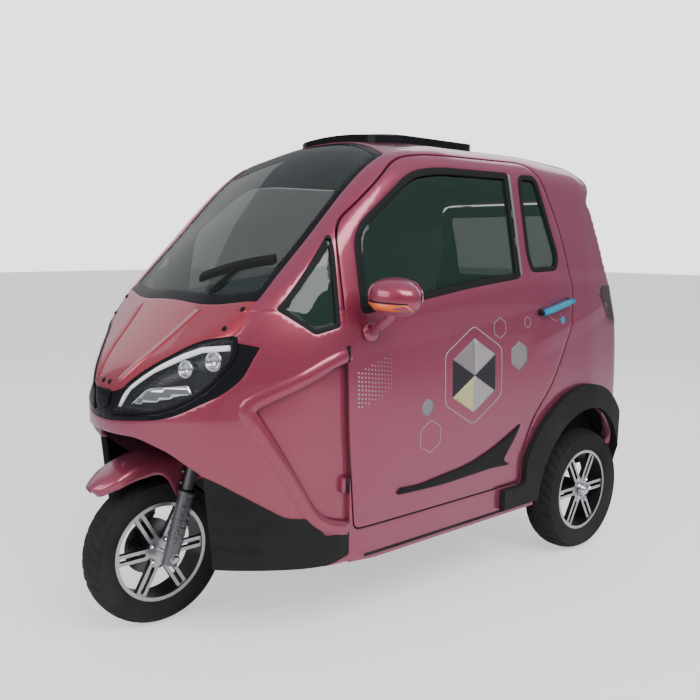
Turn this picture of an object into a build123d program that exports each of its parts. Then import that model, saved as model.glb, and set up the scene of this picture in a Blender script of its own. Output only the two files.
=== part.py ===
from build123d import *
from math import atan2, cos, hypot, pi, radians, sin, tan
import os

# Enclosed electric trike: one steered wheel in front and two driven wheels behind
# carry a moulded cabin with two doors and a rear hatch on a welded steel frame.
# Frame: +X forward, +Y to the driver's left, +Z up, millimetres, ground at zero,
# origin on the ground below the middle of the overall length.

os.makedirs("parts", exist_ok=True)

# Driving dimensions
overall_length = 2220
body_width = 1126
overall_height = 1632
wheelbase = 1627
front_overhang = 240
rear_track = 983

# Clearances and cutting allowances
overrun = 60
panel_gap = 6
hinge_radius = 6
hinge_pin_radius = 3
hinge_width = 26
hinge_strap = 24
hatch_hinge_standoff = 10.5
hatch_hinge_y = 215
door_hinge_setback = 15
door_hinge_inboard = 21
door_hinge_lows = (505, 906)
door_hinge_radius = 5
door_hinge_pin_radius = 2.5
door_hinge_half = 27
door_leaf_length = 20
door_leaf_depth = 30
running_gap = 0.05
seat_gap = 0.3

# Cabin walls, glass and the steps between panels
wall = 34
glass_thickness = 6
glass_inset = 4
scoop_step = 18
underside = 262
plate_hole_spacing = 140
plate_hole_height = 870
plate_hole_radius = 3.3

# Wheels
front_tyre_radius = 240
front_tyre_width = 108
rear_tyre_radius = 245
rear_tyre_width = 124
rim_lip_radius = 165
rim_seat_radius = 156
rim_wall = 6
hub_radius = 36
front_axle_radius = 9
rear_axle_radius = 14
spoke_pairs = 6
spoke_depth = 18
disc_radius = 92
disc_thickness = 4
disc_inset = 12

# Steering
steering_rake = 17
fork_offset = 20
fork_leg_spacing = 204
slider_radius = 25
slider_length = 230
stanchion_radius = 17
crown_height = 640
crown_depth = 52
crown_thickness = 28
stem_radius = 15
head_tube_radius = 30
head_tube_length = 130
head_tube_rise = 12
handlebar_height = 1004
handlebar_sweep = 150
bar_half_span = 330
bar_bend = 70
bar_radius = 11
grip_radius = 16
grip_length = 118
mudguard_radius = 334
mudguard_wall = 4
guard_bolt_reaches = (284, 302)
guard_bolt_radius = 5

# Frame under the floor
rail_width = 50
rail_height = 54
rail_spacing = 470
rear_rail_rise = 122
rail_step_share = 0.75
cross_tube_radius = 20
middle_tube_share = 0.35
down_tube_radius = 21
down_tube_join_share = 0.85
axle_tube_radius = 34
motor_radius = 92
motor_width = 200
leaf_width = 46
leaf_thickness = 7
leaf_count = 3
leaf_reach_share = 0.31
leaf_step_share = 0.26

half_length = overall_length / 2
half_width = body_width / 2
front_axle_x = half_length - front_overhang
rear_axle_x = front_axle_x - wheelbase
rear_wheel_y = rear_track / 2
rail_top = underside - seat_gap
rail_y = rail_spacing / 2


def corner_radii(points, round_shares):
    """Give each corner of a closed outline a radius that its two sides have room for."""
    radii = []
    count = len(points)
    for index in range(count):
        before = points[index - 1]
        here = points[index]
        after = points[(index + 1) % count]
        side_in = hypot(here[0] - before[0], here[1] - before[1])
        side_out = hypot(after[0] - here[0], after[1] - here[1])
        heading_in = atan2(here[1] - before[1], here[0] - before[0])
        heading_out = atan2(after[1] - here[1], after[0] - here[0])
        turn = abs((heading_out - heading_in + pi) % (2 * pi) - pi)
        radii.append(round_shares[index] * min(side_in, side_out) / tan(turn / 2))
    return radii


def inset_points(points, inset):
    """Move every side of a closed outline inward and find its new corners."""
    count = len(points)
    area = sum(points[i - 1][0] * points[i][1] - points[i][0] * points[i - 1][1]
               for i in range(count))
    side = inset if area > 0 else -inset
    moved = []
    for index in range(count):
        before, here, after = points[index - 1], points[index], points[(index + 1) % count]
        into = Vector(here[0] - before[0], here[1] - before[1]).normalized()
        away = Vector(after[0] - here[0], after[1] - here[1]).normalized()
        push = side / (1 + into.dot(away))
        moved.append((here[0] - (into.Y + away.Y) * push, here[1] + (into.X + away.X) * push))
    return moved


def rounded_face(plane, points, round_shares, inset=0.0):
    """Make the flat face inside a closed outline with rounded corners."""
    points = inset_points(points, inset)
    wire = FilletPolyline(*points, radius=corner_radii(points, round_shares), close=True)
    return plane * make_face(wire.edges())


def side_plane(y=0.0):
    """Plane that faces left: its x points backward and its y up."""
    return Plane(origin=(0, y, 0), x_dir=(-1, 0, 0), z_dir=(0, 1, 0))


def front_plane(x=0.0):
    """Plane that faces forward: its x points left and its y up."""
    return Plane(origin=(x, 0, 0), x_dir=(0, 1, 0), z_dir=(1, 0, 0))


def side_face(shares, y=0.0, inset=0.0):
    """Face of a side outline whose columns are shares of half length and of height."""
    points = [(-along * half_length, up * overall_height) for along, up, _ in shares]
    return rounded_face(side_plane(y), points, [row[2] for row in shares], inset)


def side_prism(shares, low_y, high_y, inset=0.0):
    """Solid of a side outline between two widths, its edge moved inward."""
    face = side_face(shares, low_y, inset)
    return extrude(face, amount=high_y - low_y, dir=(0, 1, 0))


def folded_side_prism(shares, low_y, high_y, inset=0.0):
    """Solid of a side outline with sharp folds, columns along and up, between two widths."""
    points = [(-along * half_length, up * overall_height) for along, up in shares]
    wire = Polyline(*inset_points(points, inset), close=True)
    face = make_face((side_plane(low_y) * wire).edges())
    return extrude(face, amount=high_y - low_y, dir=(0, 1, 0))


def front_prism(shares, low_x, high_x, inset=0.0):
    """Solid of a front outline, shares of half width and of height, between two places."""
    points = [(across * half_width, up * overall_height) for across, up, _ in shares]
    face = rounded_face(front_plane(low_x), points, [row[2] for row in shares], inset)
    return extrude(face, amount=high_x - low_x, dir=(1, 0, 0))


def plan_prism(shares, low_z, high_z, inset=0.0):
    """Solid of a plan outline, shares of half length and of half width, between heights."""
    points = [(along * half_length, across * half_width) for along, across, _ in shares]
    face = rounded_face(Plane.XY.offset(low_z), points, [row[2] for row in shares], inset)
    return extrude(face, amount=high_z - low_z, dir=(0, 0, 1))


def mirrored(shares):
    """Complete the left half of a front outline with its mirror image."""
    return tuple(shares) + tuple((-across, up, share) for across, up, share in shares[::-1])


def mirrored_plan(shares):
    """Complete the left half of a plan outline with its mirror image."""
    return tuple(shares) + tuple((along, -across, share) for along, across, share in shares[::-1])


def block(low, high):
    """Box between two corners."""
    size = [high[axis] - low[axis] for axis in range(3)]
    middle = [(high[axis] + low[axis]) / 2 for axis in range(3)]
    return Pos(*middle) * Box(*size)


def rod(start, end, radius):
    """Round bar between two points."""
    direction = Vector(*end) - Vector(*start)
    plane = Plane(origin=start, z_dir=direction)
    return extrude(plane * Circle(radius), amount=direction.length, dir=direction)


def cross_rod(x, z, low_y, high_y, radius):
    """Round bar that lies across the trike."""
    return rod((x, low_y, z), (x, high_y, z), radius)


def pair(shape):
    """A left piece with its mirror image on the right."""
    return Compound(children=[*shape.solids(), *mirror(shape, about=Plane.XZ).solids()])


def save(shape, node):
    """Write one node of the trike."""
    export_step(shape, f"parts/{node}.step")


# Body stations, columns: along, sill half width, belt half width, belt height,
# rail half width, rail height, crown height
body_station_shares = (
    (-1.000, 0.840, 0.880, 0.509, 0.719, 0.882, 0.919),
    (-0.721, 0.941, 0.963, 0.551, 0.764, 0.936, 0.967),
    (-0.450, 0.968, 0.998, 0.570, 0.803, 0.947, 0.980),
    (0.000, 0.968, 1.000, 0.570, 0.813, 0.947, 0.984),
    (0.130, 0.968, 1.000, 0.570, 0.812, 0.938, 0.975),
    (0.217, 0.968, 0.998, 0.570, 0.810, 0.922, 0.957),
    (0.288, 0.968, 0.995, 0.569, 0.813, 0.892, 0.926),
    (0.363, 0.968, 0.991, 0.569, 0.817, 0.847, 0.882),
    (0.505, 0.950, 0.968, 0.565, 0.813, 0.745, 0.794),
    (0.586, 0.904, 0.922, 0.558, 0.780, 0.697, 0.736),
    (0.669, 0.826, 0.845, 0.545, 0.725, 0.647, 0.674),
    (0.775, 0.710, 0.725, 0.509, 0.675, 0.576, 0.599),
    (0.946, 0.657, 0.667, 0.417, 0.604, 0.469, 0.490),
)
section_round_shares = (0.06, 0.44, 0.16, 0.55, 0.16, 0.44, 0.06)
crown_rise_share = 0.72

# Plan outline of the body, left half, columns: along, across, corner share
body_plan_shares = (
    (0.937, 0.177, 0.45),
    (0.843, 0.533, 0.45),
    (0.562, 1.066, 0.02),
    (-0.740, 1.120, 0.02),
    (-0.955, 0.900, 0.45),
    (-1.000, 0.604, 0.45),
)

# Rear profile of the body, columns: along, up
tail_shares = (
    (-0.560, 1.060),
    (-0.600, 0.985),
    (-0.867, 0.948),
    (-0.815, 0.882),
    (-0.786, 0.857),
    (-0.815, 0.836),
    (-0.865, 0.748),
    (-0.910, 0.650),
    (-0.957, 0.539),
    (-0.968, 0.430),
    (-1.000, 0.343),
    (-1.000, 0.240),
    (-0.940, 0.120),
    (1.100, 0.120),
    (1.100, 1.060),
)

# Side outlines, columns: along, up, corner share
door_shares = (
    (0.439, 0.218, 0.06),
    (0.472, 0.490, 0.45),
    (0.449, 0.785, 0.20),
    (0.200, 0.924, 0.45),
    (0.090, 0.936, 0.45),
    (-0.441, 0.939, 0.35),
    (-0.569, 0.766, 0.45),
    (-0.604, 0.588, 0.35),
    (-0.455, 0.429, 0.45),
    (-0.356, 0.362, 0.45),
    (-0.303, 0.270, 0.35),
    (-0.303, 0.218, 0.25),
)
door_window_shares = (
    (0.405, 0.624, 0.10),
    (0.395, 0.782, 0.25),
    (0.171, 0.896, 0.45),
    (0.054, 0.908, 0.45),
    (-0.281, 0.909, 0.05),
    (-0.290, 0.679, 0.08),
    (-0.054, 0.665, 0.45),
)
door_quarter_shares = (
    (-0.332, 0.907, 0.35),
    (-0.432, 0.909, 0.35),
    (-0.521, 0.729, 0.35),
    (-0.505, 0.694, 0.45),
    (-0.356, 0.691, 0.35),
    (-0.335, 0.729, 0.45),
)
front_quarter_shares = (
    (0.455, 0.775, 0.06),
    (0.632, 0.637, 0.06),
    (0.551, 0.592, 0.15),
    (0.477, 0.604, 0.10),
)
scoop_shares = (
    (0.494, 0.553, 0.04),
    (0.726, 0.466, 0.06),
    (0.571, 0.257, 0.10),
    (0.524, 0.224, 0.20),
    (0.300, 0.224, 0.10),
    (0.300, 0.553, 0.10),
)
cladding_shares = (
    (0.990, 0.375, 0.05),
    (0.815, 0.347, 0.30),
    (0.631, 0.260, 0.30),
    (0.566, 0.256, 0.30),
    (0.528, 0.2185, 0.20),
    (0.443, 0.2180, 0.10),
    (0.443, 0.1755, 0.10),
    (0.505, 0.164, 0.30),
    (0.577, 0.158, 0.30),
    (0.721, 0.142, 0.30),
    (0.789, 0.157, 0.30),
)
tail_lamp_shares = (
    (-0.795, 0.631, 0.20),
    (-0.822, 0.652, 0.20),
    (-1.100, 0.652, 0.10),
    (-1.100, 0.560, 0.10),
    (-0.890, 0.549, 0.30),
)

# Front outlines of the left half, columns: across, up, corner share
nose_edge_shares = (
    (0.595, 0.020, 0.05),
    (0.595, 0.341, 0.10),
    (0.455, 0.367, 0.30),
    (0.284, 0.390, 0.30),
    (0.060, 0.3985, 0.20),
)
headlight_shares = (
    (0.690, 0.593, 0.20),
    (0.503, 0.581, 0.40),
    (0.293, 0.531, 0.40),
    (0.177, 0.494, 0.30),
    (0.092, 0.439, 0.05),
    (0.444, 0.452, 0.45),
    (0.621, 0.498, 0.45),
    (0.700, 0.551, 0.40),
)
trim_shares = (
    (0.770, 0.572, 0.10),
    (0.732, 0.518, 0.40),
    (0.668, 0.488, 0.40),
    (0.452, 0.440, 0.40),
    (0.080, 0.427, 0.20),
)
trim_top_shares = (
    (0.085, 0.480, 0.10),
    (0.300, 0.505, 0.20),
    (0.690, 0.580, 0.10),
)
hood_shares = (
    (0.692, 0.760, 0.05),
    (0.692, 0.595, 0.10),
    (0.120, 0.440, 0.20),
)
hatch_shares = (
    (0.690, 0.862, 0.15),
    (0.760, 0.446, 0.15),
)
hatch_glass_shares = (
    (0.610, 0.842, 0.15),
    (0.660, 0.655, 0.15),
)

# Plan outlines of the left half, columns: along, across, corner share
windscreen_shares = (
    (0.712, 0.340, 0.45),
    (0.662, 0.696, 0.06),
    (0.204, 0.685, 0.06),
    (0.118, 0.300, 0.45),
)
roof_shares = (
    (0.340, 0.675, 0.05),
    (-0.900, 0.675, 0.05),
)
sunroof_shares = (
    (0.100, 0.440, 0.20),
    (-0.380, 0.440, 0.20),
)

door_handle_shares = (
    (-0.380, 0.607, 0.45),
    (-0.568, 0.636, 0.45),
    (-0.560, 0.618, 0.45),
    (-0.386, 0.592, 0.45),
)
wiper_blade_shares = (
    (0.560, 0.600, 0.10),
    (0.572, 0.610, 0.10),
    (0.660, 0.130, 0.10),
    (0.648, 0.120, 0.10),
)
wiper_arm_shares = (
    (0.618, 0.372, 0.10),
    (0.604, 0.392, 0.10),
    (0.676, 0.330, 0.10),
    (0.682, 0.300, 0.10),
)


def body_section(shares, inset):
    """One closed section of the body, moved inward by the inset."""
    along, sill_out, belt_out, belt_up, rail_out, rail_up, crown_up = shares
    sill = (sill_out * half_width - inset, underside + inset)
    belt = (belt_out * half_width - inset, belt_up * overall_height)
    rail = (rail_out * half_width - inset, rail_up * overall_height - inset)
    crown = (0, rail[1] + (crown_up - rail_up) * overall_height / crown_rise_share)
    left = [sill, belt, rail]
    right = [(-across, up) for across, up in reversed(left)]
    return rounded_face(front_plane(along * half_length), left + [crown] + right,
                        section_round_shares)


forms = {}


def body_form(inset):
    """The closed form of the cabin, moved inward by the inset or outward if it is negative."""
    if inset not in forms:
        sections = [body_section(shares, inset) for shares in body_station_shares]
        form = loft(sections, ruled=True)
        plan_solid = plan_prism(mirrored_plan(body_plan_shares), 0, overall_height + overrun, inset)
        tail_solid = folded_side_prism(tail_shares, -body_width, body_width, inset)
        forms[inset] = form & (plan_solid & tail_solid)
    return forms[inset]


def body_panel(cutter, outer_inset, inner_inset):
    """The piece of the layer between two insets that lies in a cutter."""
    return (cutter & body_form(outer_inset)) - body_form(inner_inset)


side_reach = body_width
side_start = half_width * 0.35
door_start = half_width * 0.75
top_reach = overall_height + overrun
front_reach = half_length + overrun
glass_inner = glass_inset + glass_thickness
front_well_rear = front_axle_x - front_tyre_radius - overrun
sill_top = door_shares[0][1] * overall_height - panel_gap
sill_inner_y = half_width * 0.88
cladding_rear_x = cladding_shares[5][0] * half_length
arch_opening = rear_tyre_radius + 92
arch_width = 98
arch_shift = 25
arch_start = half_width * 0.72
arch_foot = 200
arch_low = 276
arch_inner_y = rear_wheel_y - rear_tyre_width / 2 - 34
rear_floor_front = rear_axle_x + arch_opening
lift = 24
wiper_rise = 12
roof_low_share = 0.875
nose_start_share = 0.62
lamp_start_share = 0.70


def lengthwise(low_share, high_share):
    """Two places along the body given as shares of its half length."""
    return low_share * half_length, high_share * half_length


def on_both_sides(shape):
    """A left cutter joined with its mirror image."""
    return shape + mirror(shape, about=Plane.XZ)


def side_cutter(shares, inset=0.0, start=side_start):
    """A side outline cut through the left side of the cabin."""
    return side_prism(shares, start, side_reach, inset)


# Cutters for the panels of the cabin
nose_cutter = front_prism(mirrored(nose_edge_shares), front_well_rear, front_reach)
wheel_cutter = cross_rod(rear_axle_x, rear_tyre_radius, arch_inner_y, side_reach, arch_opening)
rear_under_cutter = block(
    (-front_reach, -arch_inner_y, 0),
    (rear_floor_front, arch_inner_y, underside + wall + overrun),
)
windscreen_cutter = plan_prism(mirrored_plan(windscreen_shares), half_length / 2, top_reach)
headlight_cutter = front_prism(headlight_shares, lamp_start_share * half_length, front_reach)
trim_outline = mirrored(trim_top_shares + trim_shares)
trim_cutter = front_prism(trim_outline, nose_start_share * half_length, front_reach)
hood_cutter = front_prism(mirrored(hood_shares), nose_start_share * half_length, front_reach)
roof_cutter = plan_prism(mirrored_plan(roof_shares), roof_low_share * overall_height, top_reach)
hatch_opening = front_prism(mirrored(hatch_shares), -front_reach, -lamp_start_share * half_length)
hatch_cutter = front_prism(
    mirrored(hatch_shares), -front_reach, -lamp_start_share * half_length, panel_gap
)
hatch_glass_cutter = front_prism(
    mirrored(hatch_glass_shares), -half_length, -lamp_start_share * half_length
)
door_opening = side_cutter(door_shares, 0, door_start)
door_cutter = side_cutter(door_shares, panel_gap, door_start + panel_gap)
front_quarter_cutter = side_cutter(front_quarter_shares)
scoop_cutter = side_cutter(scoop_shares)
cladding_cutter = side_cutter(cladding_shares)
tail_lamp_cutter = side_cutter(tail_lamp_shares)
window_cutter = side_cutter(door_window_shares)
door_quarter_cutter = side_cutter(door_quarter_shares)
sill_cutter = block(
    (rear_floor_front, sill_inner_y, 0), (cladding_rear_x, side_reach, sill_top)
)
floor_cutter = block(
    (rear_floor_front, -sill_inner_y, 0),
    (front_reach, sill_inner_y, underside + wall + seat_gap),
)
cladding_floor_cutter = block(
    (rear_floor_front, -sill_inner_y, 0),
    (front_well_rear + seat_gap, sill_inner_y, underside + wall + seat_gap),
)
bumper_cutter = block(
    (-front_reach, -side_reach, 0),
    (rear_axle_x - arch_opening + overrun, side_reach, hatch_shares[1][1] * overall_height),
)
front_cutter = block(
    (0.452 * half_length, -side_reach, 0), (front_reach, side_reach, 0.637 * overall_height)
)

# Cabin panels, each cut from the layer between the outer and the inner form
shell = body_form(0) - body_form(wall)
shell = shell - [nose_cutter, on_both_sides(wheel_cutter), rear_under_cutter]
headlight_cutters = on_both_sides(headlight_cutter)
windscreen = body_panel(windscreen_cutter, glass_inset, glass_inner)
quarter_glass = body_panel(front_quarter_cutter, glass_inset, glass_inner)
headlights = shell & headlight_cutter
nose_trim = shell & (trim_cutter - headlight_cutters)
hood = shell & (hood_cutter - [windscreen_cutter, headlight_cutters, trim_cutter])
roof = shell & (roof_cutter - windscreen_cutter)
left_door = shell & (door_cutter - [window_cutter, door_quarter_cutter])
door_glass = body_panel(window_cutter + door_quarter_cutter, glass_inset, glass_inner)
hatch = shell & (hatch_cutter - hatch_glass_cutter)
plate_hole = Pos(-half_length, plate_hole_spacing / 2, plate_hole_height) * Rot(Y=90) * Cylinder(
    plate_hole_radius, 2 * overrun + 2 * wall
)
hatch = hatch - on_both_sides(plate_hole)
hatch_glass = body_panel(hatch_glass_cutter, glass_inset, glass_inner)
tail_lamp = shell & (tail_lamp_cutter - hatch_opening)
cladding = (shell & cladding_cutter) - cladding_floor_cutter
sill = shell & (sill_cutter - [cladding_cutter, door_opening])
rest = shell - [
    windscreen_cutter,
    hood_cutter,
    headlight_cutters,
    trim_cutter,
    roof_cutter,
    hatch_opening,
    on_both_sides(door_opening),
    on_both_sides(front_quarter_cutter),
    on_both_sides(tail_lamp_cutter),
    on_both_sides(cladding_cutter),
    on_both_sides(sill_cutter),
]
floor_pan = block(
    (rear_floor_front, -sill_inner_y + seat_gap, underside),
    (front_well_rear, sill_inner_y - seat_gap, underside + wall),
)
rear_bumper = rest & bumper_cutter
rest = rest - [floor_cutter, bumper_cutter]
front_shell = rest & front_cutter
cabin_shell = rest - front_cutter
side_scoop = (front_shell & scoop_cutter) & body_form(scoop_step)
front_shell = front_shell - on_both_sides(scoop_cutter)

# Pieces raised above the outer form
door_handle = body_panel(side_cutter(door_handle_shares), -lift, 0)
sunroof_cutter = plan_prism(mirrored_plan(sunroof_shares), roof_low_share * overall_height, top_reach)
sunroof = body_panel(sunroof_cutter, -lift, 0)
wiper_cutter = plan_prism(wiper_blade_shares, half_length / 2, top_reach)
wiper_cutter = wiper_cutter + plan_prism(wiper_arm_shares, half_length / 2, top_reach)
wiper = body_panel(wiper_cutter, -wiper_rise, glass_inset)
arch_disc = cross_rod(
    rear_axle_x + arch_shift, rear_tyre_radius, arch_start, side_reach, arch_opening + arch_width
)
arch_foot_box = block(
    (rear_floor_front - overrun, arch_start, arch_low),
    (rear_floor_front + arch_foot, side_reach, sill_top),
)
arch_cutter = (arch_disc + arch_foot_box) - [
    wheel_cutter,
    block((-front_reach, 0, 0), (front_reach, side_reach, arch_low)),
    side_cutter(door_shares, -panel_gap),
]
arch_cladding = body_panel(arch_cutter, -lift, 0)

# Hinges: a pin with its lugs on the body and a knuckle between them on the moving panel
hatch_hinge_x = tail_shares[4][0] * half_length - hatch_hinge_standoff
hatch_hinge_z = tail_shares[4][1] * overall_height


def hatch_hinge_piece(low_y, high_y, side):
    """A round knuckle on the hatch's axis with a strap up to the body or down to the hatch."""
    knuckle = cross_rod(hatch_hinge_x, hatch_hinge_z, low_y, high_y, hinge_radius)
    start = side * panel_gap / 2
    end = side * hinge_strap
    low_z = hatch_hinge_z + min(start, end)
    high_z = hatch_hinge_z + max(start, end)
    strap = block(
        (hatch_hinge_x - hinge_radius, low_y, low_z),
        (hatch_hinge_x + hatch_hinge_standoff + hinge_radius, high_y, high_z),
    )
    return knuckle + strap


knuckle_low = hatch_hinge_y - hinge_width / 2
knuckle_high = hatch_hinge_y + hinge_width / 2
hatch_knuckle = hatch_hinge_piece(knuckle_low, knuckle_high, -1) - cross_rod(
    hatch_hinge_x, hatch_hinge_z, 0, half_width, hinge_pin_radius + running_gap
)
hatch = hatch + on_both_sides(hatch_knuckle)
hatch_lugs = hatch_hinge_piece(knuckle_low - hinge_width / 2, knuckle_low - seat_gap, 1)
hatch_lugs = hatch_lugs + hatch_hinge_piece(
    knuckle_high + seat_gap, knuckle_high + hinge_width / 2, 1
)
hatch_lugs = hatch_lugs + cross_rod(
    hatch_hinge_x, hatch_hinge_z, knuckle_low - seat_gap, knuckle_high + seat_gap, hinge_pin_radius
)
cabin_shell = cabin_shell + on_both_sides(hatch_lugs)

door_hinge_x = door_shares[1][0] * half_length - door_hinge_setback
door_hinge_y = half_width - door_hinge_inboard


def door_hinge_half_piece(low_z, side, growth=0.0):
    """Half of a door hinge: a knuckle with a leaf ahead of it or behind it."""
    knuckle = rod(
        (door_hinge_x, door_hinge_y, low_z - growth),
        (door_hinge_x, door_hinge_y, low_z + door_hinge_half + growth),
        door_hinge_radius + growth,
    )
    ends = sorted((0, side * (door_leaf_length + growth)))
    leaf = block(
        (door_hinge_x + ends[0], door_hinge_y - door_leaf_depth, low_z - growth),
        (door_hinge_x + ends[1], door_hinge_y + growth, low_z + door_hinge_half + growth),
    )
    return knuckle + leaf


hinge_bases = []
for hinge_low in door_hinge_lows:
    upper_low = hinge_low + door_hinge_half + seat_gap
    base = door_hinge_half_piece(hinge_low, 1)
    knuckle = door_hinge_half_piece(upper_low, -1)
    pin_top = upper_low + door_hinge_half
    pin_line = ((door_hinge_x, door_hinge_y, hinge_low), (door_hinge_x, door_hinge_y, pin_top))
    left_door = left_door - door_hinge_half_piece(hinge_low, 1, seat_gap)
    left_door = (left_door + knuckle) - rod(*pin_line, door_hinge_pin_radius + running_gap)
    room = on_both_sides(door_hinge_half_piece(upper_low, -1, seat_gap))
    front_shell = front_shell - room
    side_scoop = side_scoop - room
    hinge_bases.append(base + rod(*pin_line, door_hinge_pin_radius))
side_scoop = side_scoop + hinge_bases[0]
front_shell = front_shell + on_both_sides(hinge_bases[1])

# Steering axis: a line leaning back that passes behind the front axle
lean = radians(steering_rake)
axis_up = Vector(-sin(lean), 0, cos(lean))
axis_forward = Vector(cos(lean), 0, sin(lean))
axis_foot = Vector(front_axle_x, 0, front_tyre_radius) - axis_forward * fork_offset


def on_axis(height, ahead=0.0, aside=0.0):
    """Point level with a height on the steering axis, moved ahead and aside of it."""
    point = axis_foot + axis_up * ((height - axis_foot.Z) / cos(lean))
    return point + axis_forward * ahead + Vector(0, aside, 0)


def axis_plane(point):
    """Plane across the steering axis: its x points forward and its y left."""
    return Plane(origin=point, x_dir=axis_forward, z_dir=axis_up)


# Wheels, turned about the vertical axis of their own frame, outer face upward
tyre_bead_share = 0.71
spoke_slot_share = 0.36
arm_width = 36
spoke_start_share = 0.30


def wheel_at(shape, x, y, z):
    """Stand a wheel piece upright at its place, outer face to the left."""
    return Pos(x, y, z) * Rot(X=-90) * shape


# Tyre section, columns: share of the way from the rim's lip to the tread, share of the half width
tyre_section_shares = (
    (0.22, 0.93),
    (0.45, 1.0),
    (0.68, 0.97),
    (0.90, 0.78),
    (1.0, 0.40),
)
slot_length_share = 0.86
hub_flange_share = 1.25


def tyre(radius, width):
    """Tyre whose beads sit between the lips of the rim."""
    half = width / 2
    bead = half * tyre_bead_share
    inner = rim_seat_radius + seat_gap
    tread = radius - rim_lip_radius
    left = ((inner, bead), (rim_lip_radius + seat_gap, bead))
    left = left + tuple(
        (rim_lip_radius + tread * up_share, half * out_share)
        for up_share, out_share in tyre_section_shares
    )
    points = left + tuple((r, -w) for r, w in left[::-1])
    face = make_face((Plane.XZ * Polyline(*points, close=True)).edges())
    return revolve(face, axis=Axis.Z)


def rim(width, bore_radius):
    """Cast rim: a barrel with lips, a hub and arms that each have a slot."""
    bead = width / 2 * tyre_bead_share + seat_gap
    lip = bead + rim_wall
    well = rim_seat_radius - rim_wall
    profile = [
        (well, -lip), (rim_lip_radius, -lip), (rim_lip_radius, -bead), (rim_seat_radius, -bead),
        (rim_seat_radius, bead), (rim_lip_radius, bead), (rim_lip_radius, lip), (well, lip),
    ]
    barrel = revolve(make_face((Plane.XZ * Polyline(*profile, close=True)).edges()), axis=Axis.Z)
    arm_length = well + rim_wall / 2
    slot_length = arm_length * (1 - spoke_start_share) * slot_length_share
    slot_middle = arm_length * (1 + spoke_start_share) / 2
    arm = Pos(arm_length / 2, 0) * Rectangle(arm_length, arm_width)
    slot = Pos(slot_middle, 0) * SlotOverall(slot_length, arm_width * spoke_slot_share)
    arms = [Rot(Z=360 / spoke_pairs * index) * (arm - slot) for index in range(spoke_pairs)]
    star = arms[0]
    for other in arms[1:]:
        star = star + other
    star = star + Circle(hub_radius * hub_flange_share)
    face_height = lip - rim_wall
    spokes = Pos(0, 0, face_height - spoke_depth) * extrude(star, amount=spoke_depth, dir=(0, 0, 1))
    hub_low = -lip + disc_inset
    hub = Pos(0, 0, hub_low) * Cylinder(
        hub_radius, face_height - hub_low, align=(Align.CENTER, Align.CENTER, Align.MIN)
    )
    bore = Cylinder(bore_radius, 4 * width)
    return (barrel + spokes + hub) - bore


front_tyre = wheel_at(tyre(front_tyre_radius, front_tyre_width), front_axle_x, 0, front_tyre_radius)
front_rim = wheel_at(
    rim(front_tyre_width, front_axle_radius + running_gap), front_axle_x, 0, front_tyre_radius
)
rear_place = (rear_axle_x, rear_wheel_y, rear_tyre_radius)
left_rear_tyre = wheel_at(tyre(rear_tyre_radius, rear_tyre_width), *rear_place)
left_rear_rim = wheel_at(rim(rear_tyre_width, rear_axle_radius + running_gap), *rear_place)
front_lip = front_tyre_width / 2 * tyre_bead_share + seat_gap + rim_wall
hub_low = -front_lip + disc_inset
disc = Cylinder(disc_radius, disc_thickness, align=(Align.CENTER, Align.CENTER, Align.MAX))
disc = disc - Cylinder(front_axle_radius * 2, 4 * disc_thickness)
brake_disc = wheel_at(Pos(0, 0, hub_low) * disc, front_axle_x, 0, front_tyre_radius)

# Fork: two legs, a crown, a stem and the axle
leg_y = fork_leg_spacing / 2
leg_top = on_axis(crown_height, fork_offset)
axle_point = Vector(front_axle_x, 0, front_tyre_radius)


def leg(side):
    """One telescopic leg: a slider round the axle and a slimmer tube up to the crown."""
    foot = axle_point + Vector(0, side * leg_y, 0) - axis_up * slider_radius
    joint = foot + axis_up * slider_length
    top = leg_top + Vector(0, side * leg_y, 0) + axis_up * crown_thickness
    return rod(foot, joint, slider_radius) + rod(joint, top, stanchion_radius)


crown_middle = on_axis(crown_height, fork_offset / 2)
crown_face = axis_plane(crown_middle) * RectangleRounded(
    crown_depth, fork_leg_spacing + 2 * slider_radius, crown_depth / 4
)
crown = extrude(crown_face, amount=crown_thickness, dir=axis_up)
stem_top = on_axis(handlebar_height - bar_radius - seat_gap)
stem = rod(on_axis(crown_height), stem_top, stem_radius)
fork = leg(1) + leg(-1) + crown + stem
axle_nut_reach = 8
axle_end_y = leg_y + slider_radius + axle_nut_reach
front_axle = cross_rod(
    front_axle_x, front_tyre_radius, -axle_end_y, axle_end_y, front_axle_radius
)
axle_hole = cross_rod(
    front_axle_x, front_tyre_radius, -leg_y - 2 * slider_radius, leg_y + 2 * slider_radius,
    front_axle_radius,
)
fork = fork - axle_hole

# Front mudguard: a crowned shell over the tyre, bolted to the fork legs
mudguard_half_width = leg_y - slider_radius - seat_gap
guard_lip_drop = 62
guard_shoulder_drop = 26
guard_shoulder_share = 0.97
guard_crown_share = 0.5
guard_half = (
    (mudguard_radius - guard_lip_drop, mudguard_half_width),
    (mudguard_radius - guard_shoulder_drop, mudguard_half_width * guard_shoulder_share),
    (mudguard_radius, mudguard_half_width * guard_crown_share),
)
guard_points = guard_half + tuple((r, -w) for r, w in guard_half[::-1])
guard_inner = [(r - mudguard_wall, w * (1 - mudguard_wall / mudguard_half_width))
               for r, w in guard_points[::-1]]
guard_inner[0] = (guard_points[-1][0], guard_inner[0][1])
guard_inner[-1] = (guard_points[0][0], guard_inner[-1][1])
guard_face = make_face((Plane.XZ * Polyline(*guard_points, *guard_inner, close=True)).edges())
guard_arc = 62
guard_start = 50
guard = Rot(Z=guard_start) * revolve(guard_face, axis=Axis.Z, revolution_arc=guard_arc)
front_mudguard = Pos(front_axle_x, 0, front_tyre_radius) * Rot(X=90) * guard
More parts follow.
